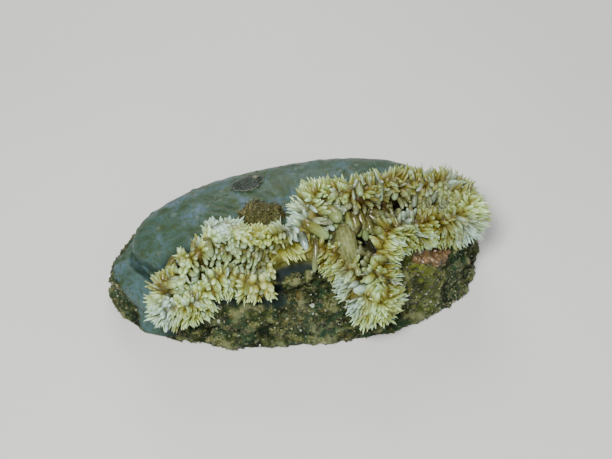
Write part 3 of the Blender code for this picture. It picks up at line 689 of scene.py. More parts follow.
PLACED = [  # thick ones, root: x, y; tip: x, y; radius, how pointed, how pale, how blue
    (1.3, -0.8, 5.9, -2.7, 1.0, 0.1, 1.0, 0.7), (1.3, -4.7, 6.6, -7.6, 1.3, 0.0, 0.8, 0.0),
    (7.4, 0.9, 9.6, -5.2, 1.55, 0.0, 0.45, 0.0), (12.0, -0.4, 12.2, -5.4, 1.0, 0.0, 0.7, 0.0),
    (13.2, -2.0, 13.7, -6.7, 1.15, 0.0, 0.6, 0.0), (14.8, -1.0, 15.5, -7.1, 1.05, 0.0, 0.8, 0.0),
    (16.4, -2.0, 17.3, -6.0, 0.95, 0.0, 0.7, 0.0),
    (17.0, -1.6, 19.2, -4.2, 0.9, 0.0, 0.6, 0.1), (17.3, -1.3, 21.2, -2.7, 1.15, 0.0, 0.6, 0.1),
    (18.8, -4.1, 21.5, -5.8, 0.9, 0.0, 0.8, 0.1), (18.0, -5.8, 17.6, -9.4, 1.1, 0.0, 0.4, 0.0),
    (3.3, -8.2, 2.3, -14.6, 0.95, 0.35, 0.45, 0.1), (0.2, -6.7, 0.8, -10.5, 1.0, 0.6, 1.0, 0.9),
    (-2.6, -6.0, -0.6, -7.9, 0.8, 0.5, 1.0, 0.9), (-1.4, -4.0, 0.1, -6.4, 0.8, 0.4, 1.0, 0.8),
    (1.5, 3.7, 3.6, 1.0, 0.75, 0.5, 1.0, 0.9), (3.6, 0.3, 4.9, -1.4, 0.55, 0.5, 1.0, 0.8),
    (6.5, -2.7, 8.0, -5.4, 0.75, 0.2, 0.8, 0.5), (16.0, 5.1, 15.4, 1.5, 0.9, 0.0, 1.0, 0.1),
    (21.0, 4.2, 20.1, 0.5, 0.9, 0.0, 0.8, 0.3), (24.6, 4.5, 23.8, 0.9, 1.0, 0.0, 0.9, 0.1),
    (27.8, 4.2, 27.3, 1.1, 1.0, 0.0, 0.9, 0.1), (31.6, 5.0, 29.5, 1.6, 0.75, 0.2, 0.9, 0.5),
    (29.1, 1.8, 28.1, -1.0, 0.8, 0.1, 0.9, 0.4), (30.2, 1.9, 29.6, -0.9, 0.7, 0.0, 0.1, 0.0),
    (34.8, 2.1, 32.2, -0.2, 0.95, 0.2, 0.9, 0.45),
    (27.6, -3.6, 27.5, -6.6, 0.9, 0.0, 0.1, 0.0), (24.4, -0.6, 24.0, -3.4, 0.95, 0.0, 0.3, 0.3),
    (13.9, -18.2, 10.3, -19.9, 1.2, 0.0, 1.0, 0.5), (18.2, -14.3, 15.3, -13.5, 0.9, 0.1, 0.9, 0.1),
    (14.8, -12.5, 13.3, -13.8, 0.7, 0.0, 0.8, 0.2), (11.4, -14.5, 11.7, -16.9, 0.8, 0.0, 0.7, 0.1),
    (-21.2, -4.4, -21.2, -7.4, 1.1, 0.0, 0.7, 0.1), (-25.5, -4.6, -23.0, -8.4, 1.1, 0.0, 0.5, 0.0),
    (-28.1, -5.2, -28.9, -8.3, 1.0, 0.0, 0.5, 0.0), (-24.0, -8.6, -25.7, -10.3, 0.85, 0.0, 0.9, 0.5),
    (-31.8, -11.6, -32.8, -14.2, 0.85, 0.1, 1.0, 0.8), (-31.6, -12.6, -33.2, -19.0, 0.85, 0.9, 1.0, 1.0),
    (-21.6, -10.6, -21.4, -14.6, 0.6, 1.0, 1.0, 0.8), (-20.2, -10.4, -19.6, -14.2, 0.55, 1.0, 1.0, 0.7),
    (-27.9, -2.7, -28.3, -5.2, 0.9, 0.0, 0.9, 0.3), (-24.4, -1.6, -24.3, -4.2, 1.0, 0.0, 0.7, 0.2),
    (-13.2, -6.1, -17.5, -7.0, 0.55, 1.0, 1.0, 0.5), (-13.0, -7.6, -16.6, -8.3, 0.5, 1.0, 1.0, 0.6),
    (-9.8, -10.8, -9.3, -13.2, 0.95, 0.0, 0.9, 0.0), (-13.2, -13.6, -14.0, -16.4, 0.85, 0.0, 0.9, 0.0),
    (-11.6, -12.4, -8.3, -14.6, 1.0, 0.0, 0.9, 0.0), (-11.8, -13.8, -10.4, -16.4, 1.05, 0.0, 1.0, 0.1),
    (-14.6, -12.0, -16.2, -15.4, 0.95, 0.1, 1.0, 0.1), (-12.4, -11.0, -11.0, -13.0, 0.9, 0.0, 0.5, 0.0),
    (-29.5, -3.4, -31.5, -6.0, 0.95, 0.1, 0.6, 0.0), (-22.0, -1.4, -21.6, -4.0, 0.9, 0.0, 0.6, 0.0),
    (-18.0, -5.0, -18.6, -8.0, 0.95, 0.0, 0.7, 0.1), (-15.6, -8.8, -15.4, -11.6, 0.85, 0.0, 0.8, 0.2),
]
NOTCHES = {"right": (-1.5, 0.5), "front": (22.0, -11.5), "neck": (5.0, -12.0), "left": (-15.5, -14.5)}


def finger(sides, heights):
    """A closed upright finger of unit size: its points, its faces and their layout on a map."""
    bpy.ops.mesh.primitive_cylinder_add(vertices=sides, depth=1, end_fill_type="TRIFAN", location=(0, 0, 0.5))
    made = bpy.context.object
    bpy.ops.object.transform_apply(location=True)
    bpy.ops.object.mode_set(mode="EDIT")
    for height in heights[1:]:
        bpy.ops.mesh.select_all(action="SELECT")
        bpy.ops.mesh.bisect(plane_co=(0, 0, height), plane_no=(0, 0, 1))
    bpy.ops.mesh.select_all(action="DESELECT")
    bpy.ops.object.mode_set(mode="OBJECT")
    for vert in made.data.vertices:
        vert.select = vert.co.z > 0.999
    bpy.ops.object.mode_set(mode="EDIT")
    bpy.ops.mesh.merge(type="CENTER")
    bpy.ops.object.mode_set(mode="OBJECT")
    points, faces = read(made.data), [tuple(face.vertices) for face in made.data.polygons]
    bpy.data.objects.remove(made)
    reach = np.hypot(points[:, 0], points[:, 1])
    first = math.atan2(*points[np.argmax(reach > 0.5), 1::-1])
    turn = (np.arctan2(points[:, 1], points[:, 0]) - first) % (2 * math.pi)
    layout, foot_share = [], 0.12
    for face in faces:
        middle = np.mean([points[v, :2] for v in face if reach[v] > 0.5], 0)
        centre = (math.atan2(middle[1], middle[0]) - first) % (2 * math.pi)
        for v in face:
            aside = (turn[v] - centre + math.pi) % (2 * math.pi) - math.pi if reach[v] > 0.5 else 0.0
            is_base = max(points[w, 2] for w in face) < 0.01
            up = foot_share * reach[v] if is_base else foot_share + (1 - foot_share) * points[v, 2]
            layout.append(((centre + aside) / (2 * math.pi), up))
    return points, faces, np.array(layout)


def taper(up, heights, radii):
    """Width of a finger at these heights, closed at its tip."""
    return np.interp(up, [*heights, 1], [*radii, 0])


def unit(ways):
    """The directions at length 1."""
    return ways / np.linalg.norm(ways, axis=-1, keepdims=True)


def stood(points, roots, ways, lengths, widths, curls, rises, seed):
    """Copies of a finger at these roots, each bent sideways by its curl and upwards by its rise."""
    beside = unit(np.cross(ways, np.random.default_rng(seed).normal(0, 1, ways.shape)))
    across = np.cross(ways, beside)
    t = points[None, :, 2:]
    bend = beside * curls[:, None] + np.array([0, 0, 1.0]) * rises[:, None]
    return (roots[:, None] + (ways * lengths[:, None])[:, None] * t + bend[:, None] * t**2
            + beside[:, None] * (widths * points[:, 0])[:, :, None]
            + across[:, None] * (widths * points[:, 1])[:, :, None])


def copied(name, shapes, faces, layout, fields):
    """One mesh of many copies, each with its own square of the map OFBake and its own numbers."""
    number, each = shapes.shape[0], shapes.shape[1]
    all_faces = [tuple(v + k * each for v in face) for k in range(number) for face in faces]
    made = mesh_object(name, shapes.reshape(-1, 3), all_faces)
    across = math.ceil(math.sqrt(number))
    squares = np.stack([np.arange(number) % across, np.arange(number) // across], 1)
    gutter = 0.08
    laid = (squares[:, None] + gutter + (1 - 2 * gutter) * layout[None]) / across
    made.data.uv_layers.new(name="OFBake").uv.foreach_set("vector", laid.astype(np.float32).ravel())
    paint(made.data, **fields)
    return made


def along_margin(values, at):
    """A value at these millimetres along the margin."""
    columns = np.atleast_2d(values.T)
    whole = np.append(arc, margin_length)
    found = [np.interp(at % margin_length, whole, np.append(c, c[0])) for c in columns]
    return np.array(found).T if len(columns) > 1 else found[0]


def soft_noise(points, size, shift=(0, 0, 0)):
    """Plain noise of about -1 to 1 with features of this many millimetres."""
    return np.array([noise.noise(Vector(p) / size + Vector(shift)) for p in points])


def soft_noises(points, size, step):
    """Three of them for each point, read a step apart."""
    return np.stack([soft_noise(points, size, np.multiply(k, step)) for k in range(3)], 1)


def row_places(degrees, spacing, rng):
    """Roots and directions of a row of tentacles, their places along the margin, and room to lie.

    They lie over the margin like thatch, outwards or inwards from a parting that wanders on its crest.
    """
    number = int(margin_length / spacing)
    at = (np.arange(number) + rng.uniform(-0.4, 0.4, number)) * margin_length / number
    lift = np.radians(degrees + rng.normal(0, 8, number))
    out = unit(along_margin(edge_out, at))
    inwards = (0.5 - 0.5 * np.cos(lift)) * along_margin(bolster_width, at)
    spot = along_margin(edge, at) - out * inwards[:, None]
    z = along_margin(level, at) + CREST * np.sin(lift)
    z = np.where(lift > 0, np.maximum(z, body_height(*spot.T) + DRAPE), z)
    wander = soft_noise(np.column_stack([spot, np.full(number, 60)]), 5.0) * PARTING_WANDER
    inner = degrees + wander + rng.normal(0, 7, number) > PARTING_AT
    slant = np.where(inner, 174 - 0.30 * (180 - degrees), 0.40 * degrees - 8)
    slant = np.radians(slant + rng.normal(0, 13, number))
    ways = np.column_stack([out * np.cos(slant)[:, None], np.sin(slant)])
    over_groove = (along_margin(half_gap, at) - along_margin(bolster_width, at)) * 1.3
    free = np.where(inner, np.maximum(over_groove, 2.4), np.maximum(along_margin(room, at), 1.4))
    return np.column_stack([spot, z]), ways, at, free


def leaning(roots, ways, lengths, free, rng, share=1.0):
    """The directions with the lean that near neighbours share, stood up where there is little room."""
    lean = soft_noises(roots, 5.5, (31, 0, 0)) + soft_noises(roots, 1.9, (0, 47, 0)) * 0.8
    ways = unit(ways + (lean + rng.normal(0, 0.2, ways.shape)) * (share, share, share * 0.7))
    flat = np.minimum(1, free / (lengths * np.maximum(np.hypot(ways[:, 0], ways[:, 1]), 0.01)))
    ways = ways * np.column_stack([flat, flat, np.ones(len(flat))])
    ways[:, 2] = np.maximum(ways[:, 2], 1 - flat)
    ways = unit(ways)
    for _ in range(12):
        tips = roots + ways * lengths[:, None]
        low = tips[:, 2] < body_height(tips[:, 0], tips[:, 1]) + 0.5
        ways = unit(ways + np.outer(low, (0, 0, 0.12)))
    return ways


placed = np.array(PLACED)
finger_roots, finger_tips = placed[:, 0:2], placed[:, 2:4]


def clear_of_placed(spots, thicker_than=0.0):
    """How far these spots are from the nearest of the thick fingers that are placed one by one."""
    along_each = ((spots[:, None] - finger_roots) * (finger_tips - finger_roots)).sum(2)
    share = np.clip(along_each / ((finger_tips - finger_roots) ** 2).sum(1), 0, 1)[:, :, None]
    nearest_on_each = finger_roots + (finger_tips - finger_roots) * share
    apart = np.linalg.norm(spots[:, None] - nearest_on_each, axis=2) - placed[:, 4]
    return apart[:, placed[:, 4] > thicker_than].min(1)


def bare_skin(x, y):
    """Where no tentacle grows: the front of the pinched neck, the throat and the holes beside it."""
    neck_front = (x > -8.0) & (x < 0.6) & (y < -10.0 - 0.08 * x) & (y > -14)
    beside_neck = (x > 0.6) & (x < 4.4) & (y < -9.6) & (y > -14)
    throat = oval(x, y, (10.3, -9.8), (3.1, 4.8)) < 1
    holes = (oval(x, y, (15.3, -7.2), (1.5, 3.0)) < 1) | (oval(x, y, (15.6, -12.0), (1.4, 2.0)) < 1)
    return neck_front | beside_neck | throat | holes


slim_points, slim_faces, slim_layout = finger(8, SLIM_HEIGHTS)
heights = slim_points[:, 2]
slim_profile = taper(heights, SLIM_HEIGHTS, SLIM_RADII)
stubby_profile = taper(heights, SLIM_HEIGHTS, STUBBY_RADII)
rng = np.random.default_rng(7)
rows = []
for degrees, length, radius, spacing in ROWS:
    roots, ways, at, free = row_places(degrees, spacing, rng)
    ends = (roots + ways * length * 0.8)[:, :2]
    keep = ~bare_skin(*roots[:, :2].T) & (clear_of_placed(roots[:, :2]) > -0.2)
    keep &= clear_of_placed(ends, 1.27) > -0.5
    full = np.ones(len(roots))
    rows.append([a[keep] for a in (roots, ways, at, free, full * length, full * radius, full * degrees)])
roots, ways, at, free, lengths, radii, degrees = (np.concatenate(column) for column in zip(*rows))
number = len(roots)
x, y = roots[:, :2].T
on_left = x < -13
petals = glow(x, y, [(3.5, 4.0, 5.0), (40, -4, 5.0), (24, 7, 4.0), (15, -23, 3.5)])
on_side = glow(x, y, [(-10.5, -14.0, 3.2)])
on_neck = glow(x, y, [(-5.5, -9.5, 3.6), (-1.5, -9.5, 2.6)])
uneven_length = soft_noise(roots, 2.8, (0, 0, 90))
lengths = lengths * rng.uniform(0.72, 1.18, number)
lengths = lengths * (1 + 0.4 * uneven_length + 0.22 * petals - 0.45 * on_side)
lengths = lengths * np.where(on_left, 0.82, 1.0)
radii = radii * np.exp(rng.normal(0, 0.26, number)).clip(0.6, 1.8)
radii = radii * (1 + 0.2 * petals + 0.45 * on_side - 0.25 * on_neck)
stubby = (degrees - 60) / 60 + rng.normal(0, 0.15, number) + on_side + 0.25 * on_left
stubby = np.clip(stubby, 0, 1)
ways = leaning(roots, ways, lengths, free, rng)
# Down the left lobe's back and the neck they are swept one way, like wet hair.
down_left = glow(x, y, [(-17.0, -0.5, 5.0), (-12.5, -4.0, 3.6)]) * smoothed_step(degrees, 20, 55)
down_neck = np.clip(1.3 * on_neck, 0, 1) * smoothed_step(degrees, 25, 60)
for swept, share, way in [(down_left, 0.85, (0.72, -0.66, 0.12)), (down_neck, 0.9, (0.42, -0.90, 0.0))]:
    ways = unit(ways * (1 - share * swept[:, None]) + np.outer(swept, way))
widths = ((1 - stubby[:, None]) * slim_profile + stubby[:, None] * stubby_profile) * radii[:, None]
curls = rng.normal(0, 0.16, number) * lengths
rises = np.clip(1 - ways[:, 2], 0, 1) * rng.normal(-0.02, 0.12, number) * lengths
shapes = stood(slim_points, roots - ways * SLIM_SUNK, ways, lengths + SLIM_SUNK, widths, curls, rises, 8)


def tints(spots):
    """How white, milky, golden, yellow-green or dull in tone the tentacles are at these places, with one
    painted highlight among the white ones, and how much painted shade lies on them in the grooves (deep).
    """
    x, y = spots[:, 0], spots[:, 1]
    patches, blotches = soft_noise(spots, 2.6, (5, 0, 140)), soft_noise(spots, 1.7, (0, 9, 180))
    golden = glow(x, y, [(-31, -5, 3.0), (29, 4.5, 7.0), (38, 3, 4.5), (9, -12.5, 4.0), (21, 4.5, 5),
                         (12, -9, 3)])
    groove_gold = glow(x, y, [(18, -3, 4), (23, -1.5, 4.5), (28, -2, 4.5), (33, -2, 4.0), (13, -13, 2.5),
                              (34, -4.8, 3.6), (36.5, -1.5, 3.2)])
    # The spot at (38.0, 3.2) is a painted highlight, where light glints on the tentacles. The other spots are
    # whitish tentacles.
    whitish_and_highlight = glow(x, y, [(0, -1.5, 3.6), (-2.4, -5.6, 2.8), (39.0, -8.8, 2.2), (-33, -14, 2.2),
                          (-18.5, -0.5, 2.4), (25.0, -5.2, 1.9), (38.0, 3.2, 1.2), (8.6, -17.6, 1.6),
                          (10.5, -21.5, 1.5)])
    creamy = glow(x, y, [(-18, -0.5, 7), (-14, -4, 5), (-24, -13, 9), (-31, -12, 6), (15, -24, 3),
                         (3, 3, 4), (18.8, -12.5, 3.2), (41.5, -5, 3.2), (7.5, -16.8, 3.2), (11, -21, 3.2)])
    patchy_gold = (1 - 0.3 * creamy) * smoothed_step(patches, 0.02, 0.28)
    return {
        "white": np.clip(whitish_and_highlight + 0.7 * (1 - groove_gold) * smoothed_step(blotches, 0.22, 0.5), 0, 1),
        "milky": np.clip(creamy + 0.6 * smoothed_step(-patches, 0.05, 0.30), 0, 1),
        "gold": np.clip(0.8 * golden + groove_gold + patchy_gold, 0, 1),
        "green": glow(x, y, [(-6, -8.5, 5.0), (-1, -9.5, 3.0), (-9, -4, 3.4)]),
        "dull": glow(x, y, [(-10.5, -14.0, 3.6)]),
        # Painted shade: tentacles in the grooves are painted darker.
        "deep": glow(x, y, [(17, -3, 3), (22, -1.5, 4), (27.5, -1.5, 4.2), (32.5, -1.5, 4),
                            (12.7, -12.5, 2.0), (33.5, -4.4, 3.4), (36, -1.2, 3.0)]),
    }


polyp = Finish("tentacle_flesh", Subsurface_Weight=0.45, Subsurface_Radius=(1.0, 0.85, 0.45),
               Subsurface_Scale=0.0008, Coat_Weight=0.55, Coat_Roughness=0.10, IOR=1.36)
along = polyp.attribute("along")
shade = along + (polyp.attribute("who") - 0.5) * 0.34 + (polyp.cloud(0.9, 2.0, 0.6) - 0.5) * 0.35
zone_tones = [
    ("milky", 0.9, [(0.10, (0.19, 0.165, 0.018)), (0.38, (0.32, 0.345, 0.062)), (0.68, (0.46, 0.61, 0.20)),
                    (0.93, (0.66, 0.91, 0.48))]),
    ("gold", 0.8, [(0.1, (0.078, 0.054, 0.003)), (0.50, (0.152, 0.120, 0.008)), (0.75, (0.200, 0.195, 0.024)),
                   (1.0, (0.27, 0.34, 0.100))]),
    # whitish tentacles, and one painted highlight
    ("white", 0.8, [(0.1, (0.09, 0.125, 0.10)), (0.45, (0.25, 0.37, 0.33)), (0.85, (0.50, 0.73, 0.69))]),
    ("green", 0.85, [(0.1, (0.16, 0.155, 0.011)), (0.5, (0.275, 0.290, 0.030)), (1.0, (0.48, 0.57, 0.16))]),
    ("dull", 0.8, [(0.1, (0.17, 0.140, 0.014)), (0.5, (0.37, 0.365, 0.080)), (0.9, (0.66, 0.80, 0.36))]),
    # painted shade in the grooves
    ("deep", 0.7, [(0.1, (0.035, 0.020, 0.001)), (0.6, (0.100, 0.072, 0.007)), (1.0, (0.160, 0.165, 0.045))]),
]
freckle = polyp.cloud(0.45, 2.0, 0.6).rise(0.56, 0.72) * (1 - along) * 0.5
polyp_tone = polyp.layered(
    # Darker towards the base and pale at the tip: partly the tentacles' own colour, partly painted shade
    # between their bases.
    polyp.ramp(shade, [
        (0.10, (0.106, 0.079, 0.005)), (0.34, (0.158, 0.142, 0.012)), (0.58, (0.205, 0.230, 0.042)),
        (0.78, (0.28, 0.37, 0.115)), (1.0, (0.38, 0.56, 0.25))]),
    *[(polyp.attribute(zone) * share, polyp.ramp(shade, stops)) for zone, share, stops in zone_tones],
    (freckle, (0.065, 0.042, 0.004)))
polyp_finish = polyp.wear(Base_Color=polyp_tone, Roughness=0.36 + polyp.cloud(1.0, 2.0) * 0.12,
                          Normal=polyp.bump(polyp.cloud(0.35, 3.0, 0.6), 0.03))

starts = {name: arc[margin_tree.find((*spot, 0))[1]] for name, spot in NOTCHES.items()}
stretches = sorted(starts, key=starts.get)
found = np.searchsorted([starts[name] for name in stretches], at % margin_length, "right") - 1
numbers = {"who": rng.random(number), **tints(roots)}
inner_right = smoothed_step(degrees, 60, 100) * smoothed_step(x, 13, 18) * smoothed_step(-x, -37, -32)
numbers["gold"] = np.maximum(numbers["gold"], 0.9 * inner_right)
numbers["milky"] *= 1 - 0.7 * inner_right
for name in NOTCHES:
    mine = np.array(stretches)[found % len(stretches)] == name
    fields = {field: np.repeat(values[mine], len(heights)) for field, values in numbers.items()}
    fields["along"] = np.tile(heights, int(mine.sum()))
    fringe = copied("tentacles_" + name, shapes[mine], slim_faces, slim_layout, fields)
    fringe.data.materials.append(polyp_finish)
    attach(fringe, "root")
    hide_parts("margin_" + name)


# Inner tentacles: fat blunt thumbs along the grooves and round the mouth, translucent tan with
# pale ends, and stout blue-white ones at the left of the hub.  Made like the slim ones.
THUMB_HEIGHTS, THUMB_RADII = [0.0, 0.25, 0.5, 0.72, 0.88, 0.965], [0.80, 0.86, 0.98, 1.0, 0.80, 0.44]
POINTED_RADII, THUMB_SUNK = [1.0, 0.98, 0.88, 0.64, 0.37, 0.20], 0.5
INNER_ROWS = [(134, 3.0, 0.60, 1.2), (146, 2.9, 0.66, 1.3), (157, 2.7, 0.68, 1.45)]  # as in ROWS
STANDING_TRIES, STANDING_AREA = 9000, ((-34, -25), (43, 6))
STANDING_LENGTH, GAP_ON_LEFT, GAP_ELSEWHERE = 2.6, 0.72, 0.95
surface = bvhtree.BVHTree.FromObject(skin, bpy.context.evaluated_depsgraph_get())


def skin_height(x, y):
    """Top of the flesh at these places."""
    above, down = 0.06, Vector((0, 0, -1))
    found = [surface.ray_cast(Vector((a * MM, b * MM, above)), down)[0] for a, b in zip(x, y)]
    return np.array([hit.z / MM if hit else 0.0 for hit in found])


rng = np.random.default_rng(19)
roots = np.column_stack([finger_roots, skin_height(*finger_roots.T) + 0.2])
roots[:, 2] += 1.6 * (placed[:, 4] - 0.6)
tips = np.column_stack([finger_tips, skin_height(*finger_tips.T) + placed[:, 4] * 1.25])
tips[:, 2] = np.maximum(tips[:, 2], roots[:, 2] - 2.5)
reach = tips - roots
thumbs = [(roots, unit(reach), np.linalg.norm(reach, axis=1), *placed[:, 4:].T)]
taken = [*finger_tips]
for degrees, length, radius, spacing in INNER_ROWS:
    roots, ways, _, free = row_places(degrees, spacing, rng)
    keep = (clear_of_placed(roots[:, :2]) > -0.2) & ~bare_skin(*roots[:, :2].T)
    keep &= glow(*roots[:, :2].T, [(-5.0, -8.5, 4.4)]) < 0.5
    roots, ways, free = roots[keep], ways[keep], free[keep]
    many = len(roots)
    smaller = np.where(roots[:, 0] < -6, 0.8, 1.0)
    lengths = length * rng.uniform(0.75, 1.2, many) * smaller
    ways = leaning(roots, ways, lengths, free, rng, 0.7)
    thumbs.append((roots, ways, lengths, radius * rng.uniform(0.65, 1.25, many) * smaller,
                   rng.uniform(0, 0.6, many), rng.uniform(0.1, 1, many), rng.uniform(0, 0.35, many)))
    taken.extend(roots[:, :2])
# More stand up from the floor of the groove wherever there is room.
stood_up = []
for x, y in rng.uniform(*STANDING_AREA, (STANDING_TRIES, 2)):
    if -outside(x, y)[0][0] <= 0.82 * bolster_width[margin_tree.find((x, y, 0))[1]]:
        continue
    if bare_skin(x, y) or glow(x, y, [(a, b, 0.8 * radius) for a, b, radius, _ in PITS]) > 0.4:
        continue
    if min(math.hypot(x - a, y - b) for a, b in taken) > (GAP_ON_LEFT if x < -8 else GAP_ELSEWHERE):
        taken.append((x, y))
        stood_up.append((x, y))
stood_up = np.array(stood_up)
many = len(stood_up)
roots = np.column_stack([stood_up, disc_floor(*stood_up.T) - 0.1])
lengths = STANDING_LENGTH * rng.uniform(0.7, 1.2, many)
ways = np.where(stood_up[:, :1] > 33, (0.7, -0.6, 0.2), (0, -0.95, 0.3))
ways = leaning(roots, ways, lengths, np.full(many, 3.0), rng, 0.9)
thickness = np.where(stood_up[:, 0] > -6, 0.66, 0.50)
thumbs.append((roots, ways, lengths, thickness * rng.uniform(0.65, 1.3, many),
               rng.uniform(0, 0.6, many), rng.uniform(0, 0.8, many), rng.uniform(0, 0.3, many)))
roots, ways, lengths, radii, pointed, pale, blue = (np.concatenate(column) for column in zip(*thumbs))
number = len(roots)

thumb_points, thumb_faces, thumb_layout = finger(12, THUMB_HEIGHTS)
thumb_up = thumb_points[:, 2]
round_profile = taper(thumb_up, THUMB_HEIGHTS, THUMB_RADII)
pointed_profile = taper(thumb_up, THUMB_HEIGHTS, POINTED_RADII)
widths = ((1 - pointed[:, None]) * round_profile + pointed[:, None] * pointed_profile) * radii[:, None]
curls = rng.normal(0, 0.14, number) * lengths
rises = np.clip(0.9 - ways[:, 2], 0, 1) * rng.normal(-0.06, 0.06, number) * lengths
shapes = stood(thumb_points, roots - ways * THUMB_SUNK, ways, lengths + THUMB_SUNK, widths, curls, rises, 20)
zones = tints(roots)
scattered_ones = np.arange(number) >= len(placed)
# Painted shade: the scattered thumbs in the right groove are painted less blue, pale and milky, and so
# darker.
in_groove = glow(*roots[:, :2].T, [(17, -3, 5), (24, -1, 5.5), (31, -2, 5)])
blue = np.where(scattered_ones, blue * (1 - 0.8 * in_groove), blue)
zoned_pale = np.clip(pale * (1 - 0.8 * zones["gold"]) + 0.7 * zones["milky"], 0, 1) * (1 - 0.7 * in_groove)
pale = np.where(scattered_ones, zoned_pale, pale)
fields = {
    "who": rng.random(number), "pale": pale, "blue": blue, "deep": zones["deep"],
    "gold": zones["gold"] * (1 - 0.7 * pale) * np.where(scattered_ones, 1, 0.4),
    "milky": zones["milky"] * (1 - 0.8 * in_groove),
}
fields = {field: np.repeat(values, len(thumb_up)) for field, values in fields.items()}
fields["along"] = np.tile(thumb_up, number)
inner = copied("inner_tentacles", shapes, thumb_faces, thumb_layout, fields)
thumb = Finish("thumb_flesh", Subsurface_Weight=0.5, Subsurface_Radius=(1.0, 0.85, 0.5),
               Subsurface_Scale=0.001, Coat_Weight=0.6, Coat_Roughness=0.10, IOR=1.36)
shade = thumb.attribute("along") + (thumb.attribute("who") - 0.5) * 0.22 + (thumb.cloud(1.2, 2.0) - 0.5) * 0.3
thumb_tone = thumb.layered(
    thumb.ramp(shade, [
        (0.12, (0.055, 0.042, 0.003)), (0.42, (0.105, 0.094, 0.008)), (0.70, (0.130, 0.130, 0.020)),
        (0.95, (0.160, 0.180, 0.040))]),
    (thumb.attribute("pale"), thumb.ramp(shade, [
        (0.12, (0.090, 0.074, 0.007)), (0.42, (0.155, 0.162, 0.022)), (0.70, (0.195, 0.255, 0.075)),
        (0.95, (0.28, 0.42, 0.19))])),
    (thumb.attribute("gold") * 0.7, thumb.ramp(shade, [
        (0.1, (0.046, 0.030, 0.002)), (0.55, (0.115, 0.090, 0.008)), (1.0, (0.175, 0.170, 0.034))])),
    (thumb.attribute("milky") * 0.7, thumb.ramp(shade, [
        (0.1, (0.14, 0.132, 0.018)), (0.5, (0.29, 0.35, 0.090)), (0.9, (0.45, 0.62, 0.27))])),
    (thumb.attribute("blue"), thumb.ramp(shade, [
        (0.12, (0.095, 0.125, 0.095)), (0.40, (0.20, 0.29, 0.26)), (0.62, (0.37, 0.52, 0.50)),
        (0.88, (0.56, 0.76, 0.78))])),
    # Painted shade: thumbs in the grooves are painted darker.
    (thumb.attribute("deep") * 0.55, thumb.ramp(shade, [
        (0.1, (0.025, 0.015, 0.001)), (0.6, (0.080, 0.064, 0.010)), (1.0, (0.130, 0.150, 0.050))])),
    (thumb.cloud(0.4, 3.0, 0.6).rise(0.54, 0.68) * 0.55, (0.09, 0.066, 0.008)),
    (thumb.cloud(0.33, 2.0, 0.6).rise(0.56, 0.68) * 0.5, (0.36, 0.43, 0.22)))
inner.data.materials.append(thumb.wear(Base_Color=thumb_tone, Roughness=0.32 + thumb.cloud(1.0, 2.0) * 0.12,
                                       Normal=thumb.bump(thumb.cloud(0.5, 3.0, 0.6), 0.05)))
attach(inner, "root")


# Grit: sand grains and shell dust held by the sticky warts of the column.  One angular grain is
# modelled, and squashed, turned and half sunk in the skin at each place.
GRAINS, GRAIN_RADIUS, GRAIN_SPREAD, GRAIN_LIMITS = 5200, 0.22, 0.48, (0.11, 0.62)
bpy.ops.mesh.primitive_ico_sphere_add(subdivisions=1, radius=1)
grain = bpy.context.object
corners = len(grain.data.vertices)
grain_points = read(grain.data) * np.random.default_rng(3).uniform(0.75, 1.2, (corners, 1))
grain_faces = [tuple(f.vertices) for f in grain.data.polygons]
grain_layout = np.array([tuple(loop.uv) for loop in grain.data.uv_layers.active.data])
bpy.data.objects.remove(grain)


def scattered(spots, normals, sizes, seed, sink=0.2):
    """Grains of these sizes at these spots, each turned and squashed its own way."""
    rng = np.random.default_rng(seed)
    turns = np.linalg.qr(rng.normal(0, 1, (len(spots), 3, 3)))[0]
    turns *= np.sign(np.linalg.det(turns))[:, None, None]
    squash = rng.uniform(0.55, 1.15, (len(spots), 1, 3))
    return spots[:, None] + normals[:, None] * (sizes * sink)[:, None, None] + np.einsum(
        "nij,nkj->nki", turns, grain_points[None] * squash) * sizes[:, None, None]


skin_spots = read(skin.data) / MM
skin_normals = read(skin.data, "vertex_normals", "vector")
rng = np.random.default_rng(11)
likely = crust * (0.25 + smoothed_step(rough_noise(skin_spots, 4.0, 2), -0.3, 0.5))
likely *= skin_spots[:, 2] > 0.6
chosen = rng.choice(len(skin_spots), GRAINS, replace=False, p=likely / likely.sum())
sizes = np.exp(rng.normal(math.log(GRAIN_RADIUS), GRAIN_SPREAD, GRAINS)).clip(*GRAIN_LIMITS)
shapes = scattered(skin_spots[chosen], skin_normals[chosen], sizes, 5)
shapes[:, :, 2] = np.maximum(shapes[:, :, 2], 0.02)
grit = copied("grit", shapes, grain_faces, grain_layout, {"who": np.repeat(rng.random(GRAINS), corners)})
grit.data.shade_flat()
sand = Finish("stuck_sand", Specular_IOR_Level=0.6)
kind = sand.attribute("who")
sand_tone = sand.ramp(kind, [
    (0.0, (0.008, 0.012, 0.005)), (0.28, (0.022, 0.026, 0.010)), (0.45, (0.055, 0.052, 0.018)),
    (0.62, (0.11, 0.11, 0.040)), (0.74, (0.040, 0.065, 0.036)), (0.87, (0.17, 0.175, 0.075)),
    (0.94, (0.28, 0.30, 0.16)), (0.965, (0.14, 0.085, 0.02)), (1.0, (0.55, 0.64, 0.52))])
sand_tone = sand.blend(sand.cloud(0.25, 2.0).rise(0.4, 0.7) * 0.6, sand_tone, (0.03, 0.036, 0.012))
grit.data.materials.append(sand.wear(Base_Color=sand_tone, Roughness=0.62 - kind.rise(0.85, 0.95) * 0.35))
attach(grit, "root")


